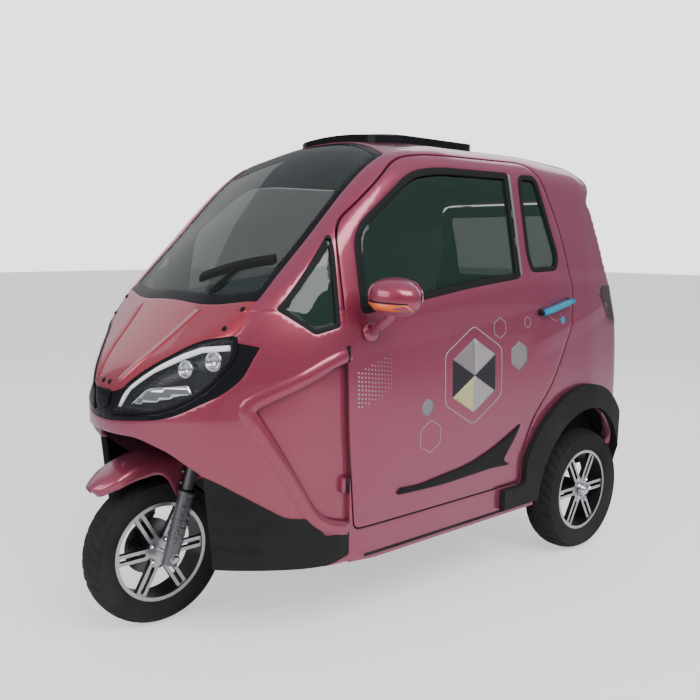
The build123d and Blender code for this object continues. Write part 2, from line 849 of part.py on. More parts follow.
for reach in guard_bolt_reaches:
    bolt_at = axle_point + axis_up * reach
    guard_bolt = cross_rod(bolt_at.X, bolt_at.Z, mudguard_half_width - mudguard_wall / 2,
                           leg_y - stanchion_radius - seat_gap, guard_bolt_radius)
    front_mudguard = front_mudguard + on_both_sides(guard_bolt)

# Brake caliper on the right leg
caliper_size = (44, 70)
caliper_round = 10
caliper_half_depth = 18
caliper_rise_share = 0.5
caliper_set_back_share = 0.55
disc_slot = 3
bracket_radius = 9
bracket_boss_radius = 11
caliper_set_back = disc_radius * caliper_set_back_share
caliper_low = on_axis(front_tyre_radius + disc_radius * caliper_rise_share, -caliper_set_back)
caliper_y = hub_low - disc_thickness / 2
caliper_face = Plane(origin=(caliper_low.X, caliper_y, caliper_low.Z), x_dir=axis_forward,
                     z_dir=(0, 1, 0)) * RectangleRounded(*caliper_size, caliper_round)
brake_caliper = extrude(caliper_face, amount=caliper_half_depth, both=True) - wheel_at(
    Pos(0, 0, hub_low + disc_thickness) * Cylinder(
        disc_radius + disc_slot, 3 * disc_thickness, align=(Align.CENTER, Align.CENTER, Align.MAX)),
    front_axle_x, 0, front_tyre_radius)
bracket_start = Vector(caliper_low.X, -leg_y, caliper_low.Z)
bracket_end = bracket_start + axis_forward * (caliper_set_back + fork_offset)
fork = fork + rod(bracket_start, bracket_end, bracket_radius)
fork = fork + cross_rod(
    caliper_low.X, caliper_low.Z, -leg_y - bracket_boss_radius, caliper_y - caliper_half_depth,
    bracket_boss_radius,
)

# Handlebar with its grips
bar_centre = on_axis(handlebar_height)
bar_points = [
    bar_centre + Vector(-handlebar_sweep, bar_half_span, 0),
    bar_centre + Vector(0, bar_bend, 0),
    bar_centre + Vector(0, -bar_bend, 0),
    bar_centre + Vector(-handlebar_sweep, -bar_half_span, 0),
]
bar_path = FilletPolyline(*bar_points, radius=bar_bend / 2)
bar_start = Plane(origin=bar_path @ 0, z_dir=bar_path % 0)
handlebar = sweep(bar_start * Circle(bar_radius), path=bar_path)
grip_way = (bar_points[0] - bar_points[1]).normalized()
grip_start = bar_points[0] - grip_way * (grip_length - seat_gap)
left_grip = rod(grip_start, bar_points[0] + grip_way * seat_gap, grip_radius) - rod(
    grip_start, bar_points[0], bar_radius + seat_gap)

# Frame: rails that step up over the rear axle, cross tubes, down tubes and the head tube
rail_low = rail_top - rail_height
rail_front_x = front_well_rear - overrun
rail_step_front = rear_floor_front - seat_gap
rail_step_rear = rail_step_front - rear_rail_rise * rail_step_share
rail_rear_x = -half_length + wall + overrun
rail_points = [
    (-rail_front_x, rail_low), (-rail_front_x, rail_top), (-rail_step_front, rail_top),
    (-rail_step_rear, rail_top + rear_rail_rise), (-rail_rear_x, rail_top + rear_rail_rise),
    (-rail_rear_x, rail_low + rear_rail_rise), (-rail_step_rear, rail_low + rear_rail_rise),
    (-rail_step_front, rail_low),
]
rail_face = make_face((side_plane(rail_y - rail_width / 2) * Polyline(*rail_points, close=True)).edges())
rail = extrude(rail_face, amount=rail_width, dir=(0, 1, 0))
cross_places = (
    (rail_front_x - rail_width, rail_low + rail_height / 2),
    (rail_front_x * middle_tube_share, rail_low + rail_height / 2),
    (rail_step_front + rail_width, rail_low + rail_height / 2),
    (rail_rear_x + rail_width, rail_low + rear_rail_rise + rail_height / 2),
)
frame = rail + mirror(rail, about=Plane.XZ)
for x, z in cross_places:
    frame = frame + cross_rod(x, z, -rail_y, rail_y, cross_tube_radius)
head_low = on_axis(crown_height + crown_thickness + head_tube_rise)
head_high = head_low + axis_up * head_tube_length
head_tube = rod(head_low, head_high, head_tube_radius)
down_foot = Vector(rail_front_x - rail_width, rail_y / 2, rail_low + rail_height / 2)
down_head = head_low + axis_up * (head_tube_length * down_tube_join_share)
down_head = down_head + Vector(0, head_tube_radius / 2, 0)
down_tube = rod(down_foot, down_head, down_tube_radius)
frame = frame + down_tube + mirror(down_tube, about=Plane.XZ) + head_tube
frame = frame - rod(head_low, head_high, stem_radius + running_gap)

# Rear axle with its motor, and the leaf springs that carry it
axle_reach = rear_wheel_y - rear_tyre_width / 2 - rim_wall
rear_axle = cross_rod(rear_axle_x, rear_tyre_radius, -axle_reach, axle_reach, axle_tube_radius)
rear_axle = rear_axle + cross_rod(
    rear_axle_x, rear_tyre_radius, -motor_width / 2, motor_width / 2, motor_radius)
stub_end = rear_wheel_y + rear_tyre_width / 2
rear_axle = rear_axle + cross_rod(rear_axle_x, rear_tyre_radius, -stub_end, stub_end, rear_axle_radius)
leaf_base = rear_tyre_radius + axle_tube_radius + seat_gap
leaf_eye_z = rail_low + rear_rail_rise - leaf_thickness - seat_gap
leaf_half = -rear_axle_x * leaf_reach_share


def leaf_spring():
    """A pack of curved leaves on the axle that reaches up to the rail at both ends."""
    pack = None
    for index in range(leaf_count):
        half = leaf_half * (1 - index * leaf_step_share)
        low = leaf_base + (leaf_count - 1 - index) * leaf_thickness
        rise = (leaf_eye_z - low) * (half / leaf_half) ** 2
        start = Vector(-rear_axle_x - half, low + rise)
        middle = Vector(-rear_axle_x, low)
        end = Vector(-rear_axle_x + half, low + rise)
        up = Vector(0, leaf_thickness)
        lower = ThreePointArc(start, middle, end)
        upper = ThreePointArc(end + up, middle + up, start + up)
        sides = [Line(end, end + up), Line(start + up, start)]
        face = make_face([lower, sides[0], upper, sides[1]])
        leaf = extrude(side_plane(rail_y - leaf_width / 2) * face, amount=leaf_width, dir=(0, 1, 0))
        pack = leaf if pack is None else pack + leaf
    return pack


left_spring = leaf_spring()

# Interior, columns of the side outlines: along, up, corner share
dash_top_shares = (
    (0.712, 0.632, 0.10),
    (0.632, 0.618, 0.30),
    (0.620, 0.572, 0.30),
    (0.505, 0.532, 0.30),
    (0.492, 0.1810, 0.10),
    (0.504, 0.1810, 0.10),
    (0.5125, 0.524, 0.30),
    (0.634, 0.564, 0.30),
    (0.645, 0.608, 0.30),
    (0.712, 0.622, 0.10),
)
cushion_shares = (
    (-0.150, 0.372, 0.20),
    (0.160, 0.378, 0.40),
    (0.185, 0.400, 0.40),
    (0.165, 0.424, 0.40),
    (-0.175, 0.424, 0.20),
)
backrest_shares = (
    (-0.185, 0.4245, 0.30),
    (-0.125, 0.4245, 0.30),
    (-0.150, 0.640, 0.45),
    (-0.200, 0.805, 0.40),
    (-0.262, 0.815, 0.45),
    (-0.275, 0.780, 0.30),
)
bench_shares = (
    (-0.750, 0.345, 0.10),
    (-0.430, 0.345, 0.30),
    (-0.415, 0.370, 0.40),
    (-0.440, 0.398, 0.40),
    (-0.750, 0.398, 0.10),
)
bench_back_shares = (
    (-0.790, 0.3982, 0.20),
    (-0.700, 0.3982, 0.20),
    (-0.735, 0.640, 0.40),
    (-0.770, 0.655, 0.45),
    (-0.800, 0.640, 0.30),
)
floor_top = underside + wall
seat_half_width = 225
seat_box_wall = 10
bench_half_width = 350
dash_gap = seat_gap
rear_floor_top = 400
floor_plate = 12
column_slot = 26
column_opening = head_tube_radius + column_slot

dash_body = side_prism(dash_top_shares, -half_width, half_width) & body_form(wall + dash_gap)
column_hole = rod(on_axis(crown_height), on_axis(handlebar_height), column_opening)
tube_hole = rod(down_foot, down_head, down_tube_radius + panel_gap)
tube_holes = on_both_sides(tube_hole)
dashboard = dash_body - [column_hole, tube_holes]
floor_pan = floor_pan - tube_holes
seat_box_top = cushion_shares[0][1] * overall_height - seat_gap
seat_box_rear_share = -0.150
seat_box_front_share = 0.140
seat_box_width_share = 0.9
battery_width_share = 0.7
battery_end_room = 3 * seat_box_wall
battery_top_room = 6 * seat_box_wall
seat_box_rear = seat_box_rear_share * half_length
seat_box_front = seat_box_front_share * half_length
seat_box_side = seat_half_width * seat_box_width_share
battery_side = seat_half_width * battery_width_share
seat_box = block(
    (seat_box_rear, -seat_box_side, floor_top + seat_gap),
    (seat_box_front, seat_box_side, seat_box_top),
)
seat_box_inner = block(
    (seat_box_rear + seat_box_wall, -seat_box_side + seat_box_wall, 0),
    (seat_box_front - seat_box_wall, seat_box_side - seat_box_wall, seat_box_top - seat_box_wall),
)
battery_block = block(
    (seat_box_rear + battery_end_room, -battery_side, floor_top + seat_gap),
    (seat_box_front - battery_end_room, battery_side, seat_box_top - battery_top_room),
)
seat_box = seat_box - seat_box_inner
driver_cushion = side_prism(cushion_shares, -seat_half_width, seat_half_width)
driver_backrest = side_prism(backrest_shares, -seat_half_width, seat_half_width)
rear_bench = side_prism(bench_shares, -bench_half_width, bench_half_width)
rear_backrest = side_prism(bench_back_shares, -bench_half_width, bench_half_width)
rear_floor_rear = rail_rear_x
rear_floor = block(
    (rear_floor_rear, -arch_inner_y + seat_gap, rear_floor_top),
    (rear_floor_front - floor_plate, arch_inner_y - seat_gap, rear_floor_top + floor_plate),
)
rear_floor = rear_floor + block(
    (rear_floor_front - 2 * floor_plate, -arch_inner_y + seat_gap, rail_top + seat_gap),
    (rear_floor_front - floor_plate, arch_inner_y - seat_gap, rear_floor_top + floor_plate),
)
rear_floor = rear_floor - [
    block((rear_floor_front - 3 * floor_plate, rail_y - rail_width, 0),
          (rear_floor_front, rail_y + rail_width, rail_top + rear_rail_rise)),
    block((rear_floor_front - 3 * floor_plate, -rail_y - rail_width, 0),
          (rear_floor_front, -rail_y + rail_width, rail_top + rear_rail_rise)),
]
bench_box = block(
    (bench_shares[0][0] * half_length, -bench_half_width, rear_floor_top + floor_plate + seat_gap),
    (bench_shares[1][0] * half_length, bench_half_width, bench_shares[0][1] * overall_height - seat_gap),
)
bench_box = bench_box - block(
    (bench_shares[0][0] * half_length - overrun, -bench_half_width + seat_box_wall, 0),
    (bench_shares[1][0] * half_length - seat_box_wall, bench_half_width - seat_box_wall,
     bench_shares[0][1] * overall_height - seat_box_wall),
)

# Inner wheel houses over the rear wheels, and the one over the front wheel
house_gap = 0.3
house = cross_rod(rear_axle_x, rear_tyre_radius, arch_inner_y, half_width, arch_opening + floor_plate / 2)
house = house - cross_rod(
    rear_axle_x, rear_tyre_radius, arch_inner_y + floor_plate / 2, half_width + overrun, arch_opening)
house = (house & body_form(wall + house_gap)) - block(
    (-front_reach, 0, 0), (front_reach, side_reach, floor_top + seat_gap))
front_house_top = crown_height + crown_thickness + head_tube_rise
front_house = block(
    (front_well_rear, -nose_edge_shares[0][0] * half_width + wall, floor_top + seat_gap),
    (front_reach, nose_edge_shares[0][0] * half_width - wall, front_house_top + overrun),
) - block(
    (front_well_rear + floor_plate / 2, -half_width, 0),
    (front_reach + overrun, half_width, front_house_top + overrun - floor_plate / 2),
)
front_house = (front_house & body_form(wall + house_gap)) - rod(
    on_axis(crown_height - overrun), on_axis(handlebar_height), head_tube_radius + panel_gap)
front_house = front_house - tube_holes

# Door mirror: a rounded housing on an arm, with its glass facing back
mirror_along_share = 0.372
mirror_up_share = 0.663
mirror_standoff = 42
mirror_back_offset = 20
mirror_glass_depth = 4
mirror_glass_seat = 1
mirror_arm_foot_share = 0.592
mirror_arm_foot_offset = 20
mirror_arm_top_offset = 10
mirror_arm_reach = 44
mirror_arm_drop = 20
mirror_arm_radius = 13
mirror_centre = Vector(mirror_along_share * half_length, 0, mirror_up_share * overall_height)
mirror_start = half_width + mirror_standoff
# Housing section, columns: distance out from its inner end, radius there
mirror_profile = (
    (0.0, 0),
    (0.0, 34),
    (14, 47),
    (60, 52),
    (104, 43),
    (126, 24),
    (132, 0),
)
mirror_outline = [Vector(r, a) for a, r in mirror_profile]
mirror_face = make_face(Plane.XZ * Polyline(*mirror_outline, close=True))
mirror_round = revolve(mirror_face, axis=Axis.Z)
mirror_body = Pos(mirror_centre.X, mirror_start, mirror_centre.Z) * Rot(X=-90) * mirror_round
mirror_back = mirror_centre.X - mirror_back_offset
mirror_cut = block(
    (-half_length, mirror_start - overrun, 0), (mirror_back, side_reach + overrun, top_reach))
mirror_housing = mirror_body - mirror_cut
mirror_glass_body = Pos(mirror_centre.X, mirror_start, mirror_centre.Z) * Rot(X=-90) * mirror_round
mirror_glass = (mirror_glass_body - mirror_cut) & block(
    (mirror_back, 0, 0), (mirror_back + mirror_glass_depth, side_reach, top_reach))
mirror_housing = mirror_housing - block(
    (mirror_back - mirror_glass_seat, 0, 0),
    (mirror_back + mirror_glass_depth, side_reach, top_reach),
)
mirror_arm_foot = (
    mirror_centre.X + mirror_arm_foot_offset, half_width - wall, mirror_arm_foot_share * overall_height
)
mirror_arm_top = (
    mirror_centre.X + mirror_arm_top_offset, mirror_start + mirror_arm_reach,
    mirror_centre.Z - mirror_arm_drop,
)
mirror_arm = rod(mirror_arm_foot, mirror_arm_top, mirror_arm_radius) - body_form(-seat_gap)
mirror_arm = mirror_arm - [mirror_body]
mirror_arm = max(mirror_arm.solids(), key=lambda solid: solid.volume)

def largest_solid(shape):
    """The panel itself, without slivers that a cut leaves beside it."""
    return max(shape.solids(), key=lambda solid: solid.volume)


nodes = {
    "windscreen": windscreen,
    "front_quarter_glass": pair(quarter_glass),
    "headlights": pair(headlights),
    "nose_trim": nose_trim,
    "hood": hood,
    "roof_panel": roof,
    "sunroof": sunroof,
    "cabin_shell": largest_solid(cabin_shell),
    "front_shell": largest_solid(front_shell),
    "side_scoops": pair(side_scoop),
    "front_claddings": pair(cladding),
    "sills": pair(sill),
    "arch_claddings": pair(arch_cladding),
    "floor_pan": floor_pan,
    "rear_floor": rear_floor,
    "rear_bumper": rear_bumper,
    "tail_lamps": pair(tail_lamp),
    "wiper": wiper,
    "dashboard": dashboard,
    "seat_box": seat_box,
    "battery_block": battery_block,
    "driver_cushion": driver_cushion,
    "driver_backrest": driver_backrest,
    "bench_box": bench_box,
    "rear_bench": rear_bench,
    "rear_backrest": rear_backrest,
    "rear_wheel_houses": pair(house),
    "front_wheel_house": front_house,
    "chassis_frame": frame,
    "rear_axle": rear_axle,
    "leaf_springs": pair(left_spring),
    "tailgate": hatch,
    "tailgate_glass": hatch_glass,
    "fork": fork,
    "front_axle": front_axle,
    "front_mudguard": front_mudguard,
    "brake_caliper": brake_caliper,
    "handlebar": handlebar,
    "hand_grips": pair(left_grip),
    "front_tyre": front_tyre,
    "front_rim": front_rim,
    "brake_disc": brake_disc,
    "rear_left_tyre": left_rear_tyre,
    "rear_left_rim": left_rear_rim,
    "rear_right_tyre": mirror(left_rear_tyre, about=Plane.XZ),
    "rear_right_rim": mirror(left_rear_rim, about=Plane.XZ),
}
left_pieces = {
    "door": left_door, "door_glass": door_glass, "door_handle": door_handle,
    "mirror_housing": mirror_housing, "mirror_arm": mirror_arm, "mirror_glass": mirror_glass,
}
for name, piece in left_pieces.items():
    nodes["left_" + name] = piece
    nodes["right_" + name] = mirror(piece, about=Plane.XZ)
for name, piece in nodes.items():
    save(piece, name)
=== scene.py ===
import bpy, bmesh, math
import numpy as np
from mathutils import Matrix, Quaternion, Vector
from mathutils.geometry import delaunay_2d_cdt


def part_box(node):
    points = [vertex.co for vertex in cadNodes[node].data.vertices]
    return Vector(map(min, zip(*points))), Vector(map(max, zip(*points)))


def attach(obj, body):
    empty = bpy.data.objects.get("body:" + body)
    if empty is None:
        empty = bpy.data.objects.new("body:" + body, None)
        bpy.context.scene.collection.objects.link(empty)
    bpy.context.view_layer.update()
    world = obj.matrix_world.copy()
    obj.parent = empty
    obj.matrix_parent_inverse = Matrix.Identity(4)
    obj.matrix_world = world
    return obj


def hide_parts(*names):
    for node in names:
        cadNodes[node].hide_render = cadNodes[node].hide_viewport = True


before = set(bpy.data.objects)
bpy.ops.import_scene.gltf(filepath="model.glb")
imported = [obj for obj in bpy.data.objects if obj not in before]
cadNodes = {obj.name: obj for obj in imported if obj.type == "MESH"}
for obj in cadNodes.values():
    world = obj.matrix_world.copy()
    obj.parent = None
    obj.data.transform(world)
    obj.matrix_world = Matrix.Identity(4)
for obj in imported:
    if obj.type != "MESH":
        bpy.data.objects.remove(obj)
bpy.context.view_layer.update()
print("frame loaded:", len(cadNodes), "nodes")

# the trike's driving sizes, metres
trike = {
    "halfLength": 1.110, "halfWidth": 0.563, "height": 1.632, "underside": 0.262,
    "frontAxle": (0.870, 0.0, 0.240), "rearAxle": (-0.757, 0.4915, 0.245), "wheelArch": 0.337,
    "steeringAxis": (-0.292372, 0.0, 0.956305),
}
halfLength, halfWidth, height = trike["halfLength"], trike["halfWidth"], trike["height"]
bothSides = ((1, "left"), (-1, "right"))


# shader node groups
def newGroup(name, inputs, outputs):
    group = bpy.data.node_groups.new(name, "ShaderNodeTree")
    for label, kind, value in inputs:
        socket = group.interface.new_socket(label, in_out="INPUT", socket_type=kind)
        if value is not None:
            socket.default_value = value
    for label, kind in outputs:
        group.interface.new_socket(label, in_out="OUTPUT", socket_type=kind)
    start = group.nodes.new("NodeGroupInput")
    end = group.nodes.new("NodeGroupOutput")
    return group, start, end


def addNode(tree, kind, **settings):
    node = tree.nodes.new(kind)
    for key, value in settings.items():
        setattr(node, key, value)
    return node


def mathNode(tree, operation, a, b=None, clamp=False):
    node = addNode(tree, "ShaderNodeMath", operation=operation, use_clamp=clamp)
    for index, value in enumerate((a, b)):
        if value is None:
            continue
        if isinstance(value, (int, float)):
            node.inputs[index].default_value = value
        else:
            tree.links.new(value, node.inputs[index])
    return node.outputs[0]


def mixColour(tree, mask, first, second):
    node = addNode(tree, "ShaderNodeMix", data_type="RGBA")
    for socket, value in ((node.inputs[0], mask), (node.inputs[6], first), (node.inputs[7], second)):
        if isinstance(value, (tuple, float)):
            socket.default_value = value
        else:
            tree.links.new(value, socket)
    return node.outputs[2]


def buildDustGroup():  # soft dust that gathers low down and in broad patches
    group, start, end = newGroup("dustMask", [
        ("Amount", "NodeSocketFloat", 0.3), ("Low", "NodeSocketFloat", 0.15),
        ("High", "NodeSocketFloat", 0.7), ("Scale", "NodeSocketFloat", 6.0)],
        [("Mask", "NodeSocketFloat")])
    place = addNode(group, "ShaderNodeTexCoord")
    split = addNode(group, "ShaderNodeSeparateXYZ")
    group.links.new(place.outputs["Object"], split.inputs[0])
    ramp = addNode(group, "ShaderNodeMapRange")
    group.links.new(split.outputs[2], ramp.inputs[0])
    group.links.new(start.outputs["Low"], ramp.inputs[2])
    group.links.new(start.outputs["High"], ramp.inputs[1])
    noise = addNode(group, "ShaderNodeTexNoise")
    noise.inputs["Detail"].default_value = 6
    group.links.new(place.outputs["Object"], noise.inputs["Vector"])
    group.links.new(start.outputs["Scale"], noise.inputs["Scale"])
    patch = mathNode(group, "MULTIPLY", noise.outputs[0], ramp.outputs[0])
    group.links.new(mathNode(group, "MULTIPLY", patch, start.outputs["Amount"], True), end.inputs[0])
    return group


def buildEdgeWearGroup():  # bright or rubbed rims where the surface turns sharply
    group, start, end = newGroup("edgeWear", [
        ("Amount", "NodeSocketFloat", 0.5), ("Break", "NodeSocketFloat", 30.0)],
        [("Mask", "NodeSocketFloat")])
    shape = addNode(group, "ShaderNodeNewGeometry")
    place = addNode(group, "ShaderNodeTexCoord")
    noise = addNode(group, "ShaderNodeTexNoise")
    noise.inputs["Detail"].default_value = 4
    group.links.new(place.outputs["Object"], noise.inputs["Vector"])
    group.links.new(start.outputs["Break"], noise.inputs["Scale"])
    ramp = addNode(group, "ShaderNodeMapRange")
    ramp.inputs[1].default_value = 0.52
    ramp.inputs[2].default_value = 0.62
    group.links.new(shape.outputs["Pointiness"], ramp.inputs[0])
    broken = mathNode(group, "MULTIPLY", ramp.outputs[0], noise.outputs[0])
    group.links.new(mathNode(group, "MULTIPLY", broken, start.outputs["Amount"], True), end.inputs[0])
    return group


def buildGrainGroup():  # leather or moulded grain: a height and a slight shade change
    group, start, end = newGroup("grain", [
        ("Scale", "NodeSocketFloat", 400.0), ("Depth", "NodeSocketFloat", 1.0)],
        [("Height", "NodeSocketFloat"), ("Shade", "NodeSocketFloat")])
    place = addNode(group, "ShaderNodeTexCoord")
    cells = addNode(group, "ShaderNodeTexVoronoi", feature="SMOOTH_F1")
    noise = addNode(group, "ShaderNodeTexNoise")
    noise.inputs["Detail"].default_value = 3
    for node in (cells, noise):
        group.links.new(place.outputs["Object"], node.inputs["Vector"])
        group.links.new(start.outputs["Scale"], node.inputs["Scale"])
    both = mathNode(group, "ADD", cells.outputs["Distance"], noise.outputs[0])
    group.links.new(mathNode(group, "MULTIPLY", both, start.outputs["Depth"]), end.inputs[0])
    group.links.new(noise.outputs[0], end.inputs[1])
    return group


def buildFlakeGroup():  # fine metallic flakes under the lacquer
    group, start, end = newGroup("pearlFlakes", [
        ("Scale", "NodeSocketFloat", 1800.0), ("Strength", "NodeSocketFloat", 0.2)],
        [("Mask", "NodeSocketFloat")])
    place = addNode(group, "ShaderNodeTexCoord")
    cells = addNode(group, "ShaderNodeTexVoronoi")
    group.links.new(place.outputs["Object"], cells.inputs["Vector"])
    group.links.new(start.outputs["Scale"], cells.inputs["Scale"])
    split = addNode(group, "ShaderNodeSeparateColor")
    group.links.new(cells.outputs["Color"], split.inputs[0])
    group.links.new(mathNode(group, "MULTIPLY", split.outputs[0], start.outputs["Strength"]),
                    end.inputs[0])
    return group


dustGroup = buildDustGroup()
wearGroup = buildEdgeWearGroup()
grainGroup = buildGrainGroup()
flakeGroup = buildFlakeGroup()


def placeGroup(tree, group, **values):
    node = addNode(tree, "ShaderNodeGroup", node_tree=group)
    for key, value in values.items():
        node.inputs[key].default_value = value
    return node


def newMaterial(name, **sockets):
    material = bpy.data.materials.new(name)
    material.use_nodes = True
    shader = material.node_tree.nodes["Principled BSDF"]
    for key, value in sockets.items():
        label = {"colour": "Base Color", "rough": "Roughness", "metal": "Metallic",
                 "coat": "Coat Weight", "coatRough": "Coat Roughness", "alpha": "Alpha",
                 "glassy": "Transmission Weight", "ior": "IOR", "sheen": "Sheen Weight",
                 "glow": "Emission Strength", "glowColour": "Emission Color",
                 "specular": "Specular IOR Level"}[key]
        shader.inputs[label].default_value = value
    return material, material.node_tree, shader


def rgb(r, g, b, a=1.0):
    return (r, g, b, a)


materials = {}


def makePaint(name, setting):
    material, tree, shader = newMaterial(
        name, rough=setting["rough"], metal=setting["metal"], coat=1.0, coatRough=0.03)
    # the face colour turns to the flop colour at glancing angles: the pearl's colour shift, and on pearlPink
    # the lighter lilac flop is also a painted highlight
    facing = addNode(tree, "ShaderNodeLayerWeight")
    facing.inputs[0].default_value = 0.38
    pearlAndSheen = mixColour(tree, facing.outputs["Facing"], setting["face"], setting["flopAndSheen"])
    flakes = placeGroup(tree, flakeGroup, Scale=1500.0, Strength=setting["flake"])
    sparkle = mixColour(tree, flakes.outputs[0], pearlAndSheen, setting["spark"])
    dust = placeGroup(tree, dustGroup, Amount=setting["dust"], Low=0.26, High=0.75, Scale=9.0)
    dusty = mixColour(tree, dust.outputs[0], sparkle, rgb(0.42, 0.36, 0.34))
    tree.links.new(dusty, shader.inputs["Base Color"])
    tree.links.new(mathNode(tree, "ADD", dust.outputs[0], setting["rough"], True),
                   shader.inputs["Roughness"])
    materials[name] = material


paintSettings = {
    # pearlPink's lighter lilac flop is partly a painted highlight at glancing angles
    "pearlPink": {"face": rgb(0.31, 0.016, 0.046), "flopAndSheen": rgb(0.36, 0.070, 0.170),
                  "spark": rgb(0.80, 0.36, 0.52), "rough": 0.30, "metal": 0.55,
                  "flake": 0.16, "dust": 0.12},
    "rosePaint": {"face": rgb(0.46, 0.014, 0.034), "flopAndSheen": rgb(0.36, 0.020, 0.060),
                  "spark": rgb(0.85, 0.28, 0.38), "rough": 0.30, "metal": 0.55,
                  "flake": 0.16, "dust": 0.08},
}
for paintName, paintSetting in paintSettings.items():
    makePaint(paintName, paintSetting)


def makePlastic(name, colour, rough, grainScale, bump, dust, wear, metal):
    material, tree, shader = newMaterial(name, colour=colour, rough=rough, metal=metal,
                                         specular=0.5 if metal else 0.10)
    grain = placeGroup(tree, grainGroup, Scale=grainScale, Depth=1.0)
    dustNode = placeGroup(tree, dustGroup, Amount=dust, Low=0.05, High=0.8, Scale=8.0)
    wearNode = placeGroup(tree, wearGroup, Amount=wear, Break=25.0)
    shade = mixColour(tree, mathNode(tree, "MULTIPLY", grain.outputs["Shade"], 0.35), colour,
                      tuple(min(1.0, c * 1.9 + 0.01) for c in colour[:3]) + (1.0,))
    worn = mixColour(tree, wearNode.outputs[0], shade,
                     tuple(min(1.0, c * 2.5 + 0.05) for c in colour[:3]) + (1.0,))
    dusty = mixColour(tree, dustNode.outputs[0], worn, rgb(0.30, 0.27, 0.24))
    tree.links.new(dusty, shader.inputs["Base Color"])
    tree.links.new(mathNode(tree, "ADD", mathNode(tree, "MULTIPLY", grain.outputs["Shade"], 0.18),
                            rough - 0.09, True), shader.inputs["Roughness"])
    relief = addNode(tree, "ShaderNodeBump")
    relief.inputs["Strength"].default_value = bump
    relief.inputs["Distance"].default_value = 0.0008
    tree.links.new(grain.outputs["Height"], relief.inputs["Height"])
    tree.links.new(relief.outputs[0], shader.inputs["Normal"])
    materials[name] = material


plasticSettings = {  # colour, roughness, grain scale, bump, dust, wear, metallic
    "texturedBlack": (rgb(0.009, 0.009, 0.010), 0.50, 700.0, 0.35, 0.14, 0.15, 0.0),
    "glossBlack": (rgb(0.008, 0.008, 0.010), 0.14, 200.0, 0.02, 0.10, 0.10, 0.0),
    "rubberSeal": (rgb(0.014, 0.014, 0.015), 0.62, 900.0, 0.10, 0.20, 0.15, 0.0),
    "tyreRubber": (rgb(0.010, 0.010, 0.011), 0.72, 1100.0, 0.30, 0.18, 0.15, 0.0),
    "greyPlastic": (rgb(0.16, 0.16, 0.17), 0.55, 600.0, 0.30, 0.10, 0.10, 0.0),
    "frameEnamel": (rgb(0.020, 0.020, 0.022), 0.38, 120.0, 0.06, 0.45, 0.45, 0.0),
    "castSilver": (rgb(0.13, 0.135, 0.14), 0.40, 260.0, 0.12, 0.10, 0.25, 0.6),
    "discSteel": (rgb(0.10, 0.10, 0.105), 0.28, 60.0, 0.05, 0.15, 0.2, 1.0),
    "brightSteel": (rgb(0.58, 0.58, 0.59), 0.22, 150.0, 0.03, 0.10, 0.2, 1.0),
    "redEnamel": (rgb(0.42, 0.012, 0.015), 0.30, 200.0, 0.05, 0.15, 0.3, 0.0),
    "seatVinyl": (rgb(0.20, 0.19, 0.20), 0.50, 380.0, 0.35, 0.05, 0.10, 0.0),
    "gripRubber": (rgb(0.02, 0.02, 0.02), 0.75, 800.0, 0.25, 0.05, 0.20, 0.0),
    "batteryCase": (rgb(0.05, 0.05, 0.06), 0.5, 400.0, 0.1, 0.10, 0.10, 0.0),
    "handleFilm": (rgb(0.030, 0.250, 0.420), 0.22, 90.0, 0.25, 0.05, 0.0, 0.0),
    "decalSilver": (rgb(0.36, 0.34, 0.35), 0.40, 300.0, 0.03, 0.0, 0.0, 0.2),
    "decalGrey": (rgb(0.22, 0.20, 0.21), 0.45, 300.0, 0.03, 0.0, 0.0, 0.0),
    "decalBeige": (rgb(0.50, 0.46, 0.24), 0.45, 300.0, 0.03, 0.0, 0.0, 0.0),
    "decalDark": (rgb(0.03, 0.03, 0.035), 0.35, 300.0, 0.03, 0.0, 0.0, 0.0),
}
for plasticName, plasticSetting in plasticSettings.items():
    makePlastic(plasticName, *plasticSetting)
for plainName, plainSockets in {
    "chrome": {"colour": rgb(0.78, 0.79, 0.80), "rough": 0.06, "metal": 1.0},
    "mirrorGlass": {"colour": rgb(0.85, 0.87, 0.88), "rough": 0.02, "metal": 1.0},
    "lampBowl": {"colour": rgb(0.012, 0.012, 0.014), "rough": 0.16, "metal": 0.6},
    "lampStrip": {"colour": rgb(0.90, 0.92, 0.95), "rough": 0.25, "glow": 0.5,
                  "glowColour": rgb(0.9, 0.95, 1.0)},
    "orangeLens": {"colour": rgb(0.95, 0.16, 0.02), "rough": 0.12, "coat": 1.0},
    "smokedRed": {"colour": rgb(0.035, 0.006, 0.008), "rough": 0.08, "coat": 1.0},
    "clearLens": {"colour": rgb(0.30, 0.32, 0.34), "rough": 0.02, "alpha": 0.05, "specular": 0.4},
    "tintedGlass": {"colour": rgb(0.010, 0.022, 0.018), "rough": 0.02, "alpha": 0.66,
                    "specular": 0.75},
    "greenGlass": {"colour": rgb(0.012, 0.040, 0.026), "rough": 0.02, "alpha": 0.52,
                   "specular": 0.75},
}.items():
    materials[plainName] = newMaterial(plainName, **plainSockets)[0]
print("materials ready:", len(materials))


# mesh helpers
cabinMiddle, weldGap = (0, 0, 0.85), 0.00002


def makeObject(name, vertices, faces, material, body, smooth=True):
    mesh = bpy.data.meshes.new(name)
    mesh.from_pydata([tuple(map(float, v)) for v in vertices], [], [tuple(f) for f in faces])
    mesh.validate()
    mesh.update()
    made = bpy.data.objects.new(name, mesh)
    bpy.context.scene.collection.objects.link(made)
    mesh.materials.append(materials[material])
    if smooth:
        mesh.shade_smooth()
    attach(made, body)
    return made


def sided(name, turn):  # the same piece, body or node on the side that turn means
    return name if turn > 0 else name.replace("left", "right")


def flipped(points, turn):
    return [(p[0], p[1] * turn, p[2]) for p in points]


def gridFaces(rows, count, loopRows=False, loopCount=False):
    faces = []
    for row in range(rows if loopRows else rows - 1):
        for a in range(count if loopCount else count - 1):
            b, after = (a + 1) % count, (row + 1) % rows
            faces.append((row * count + a, row * count + b, after * count + b, after * count + a))
    return faces


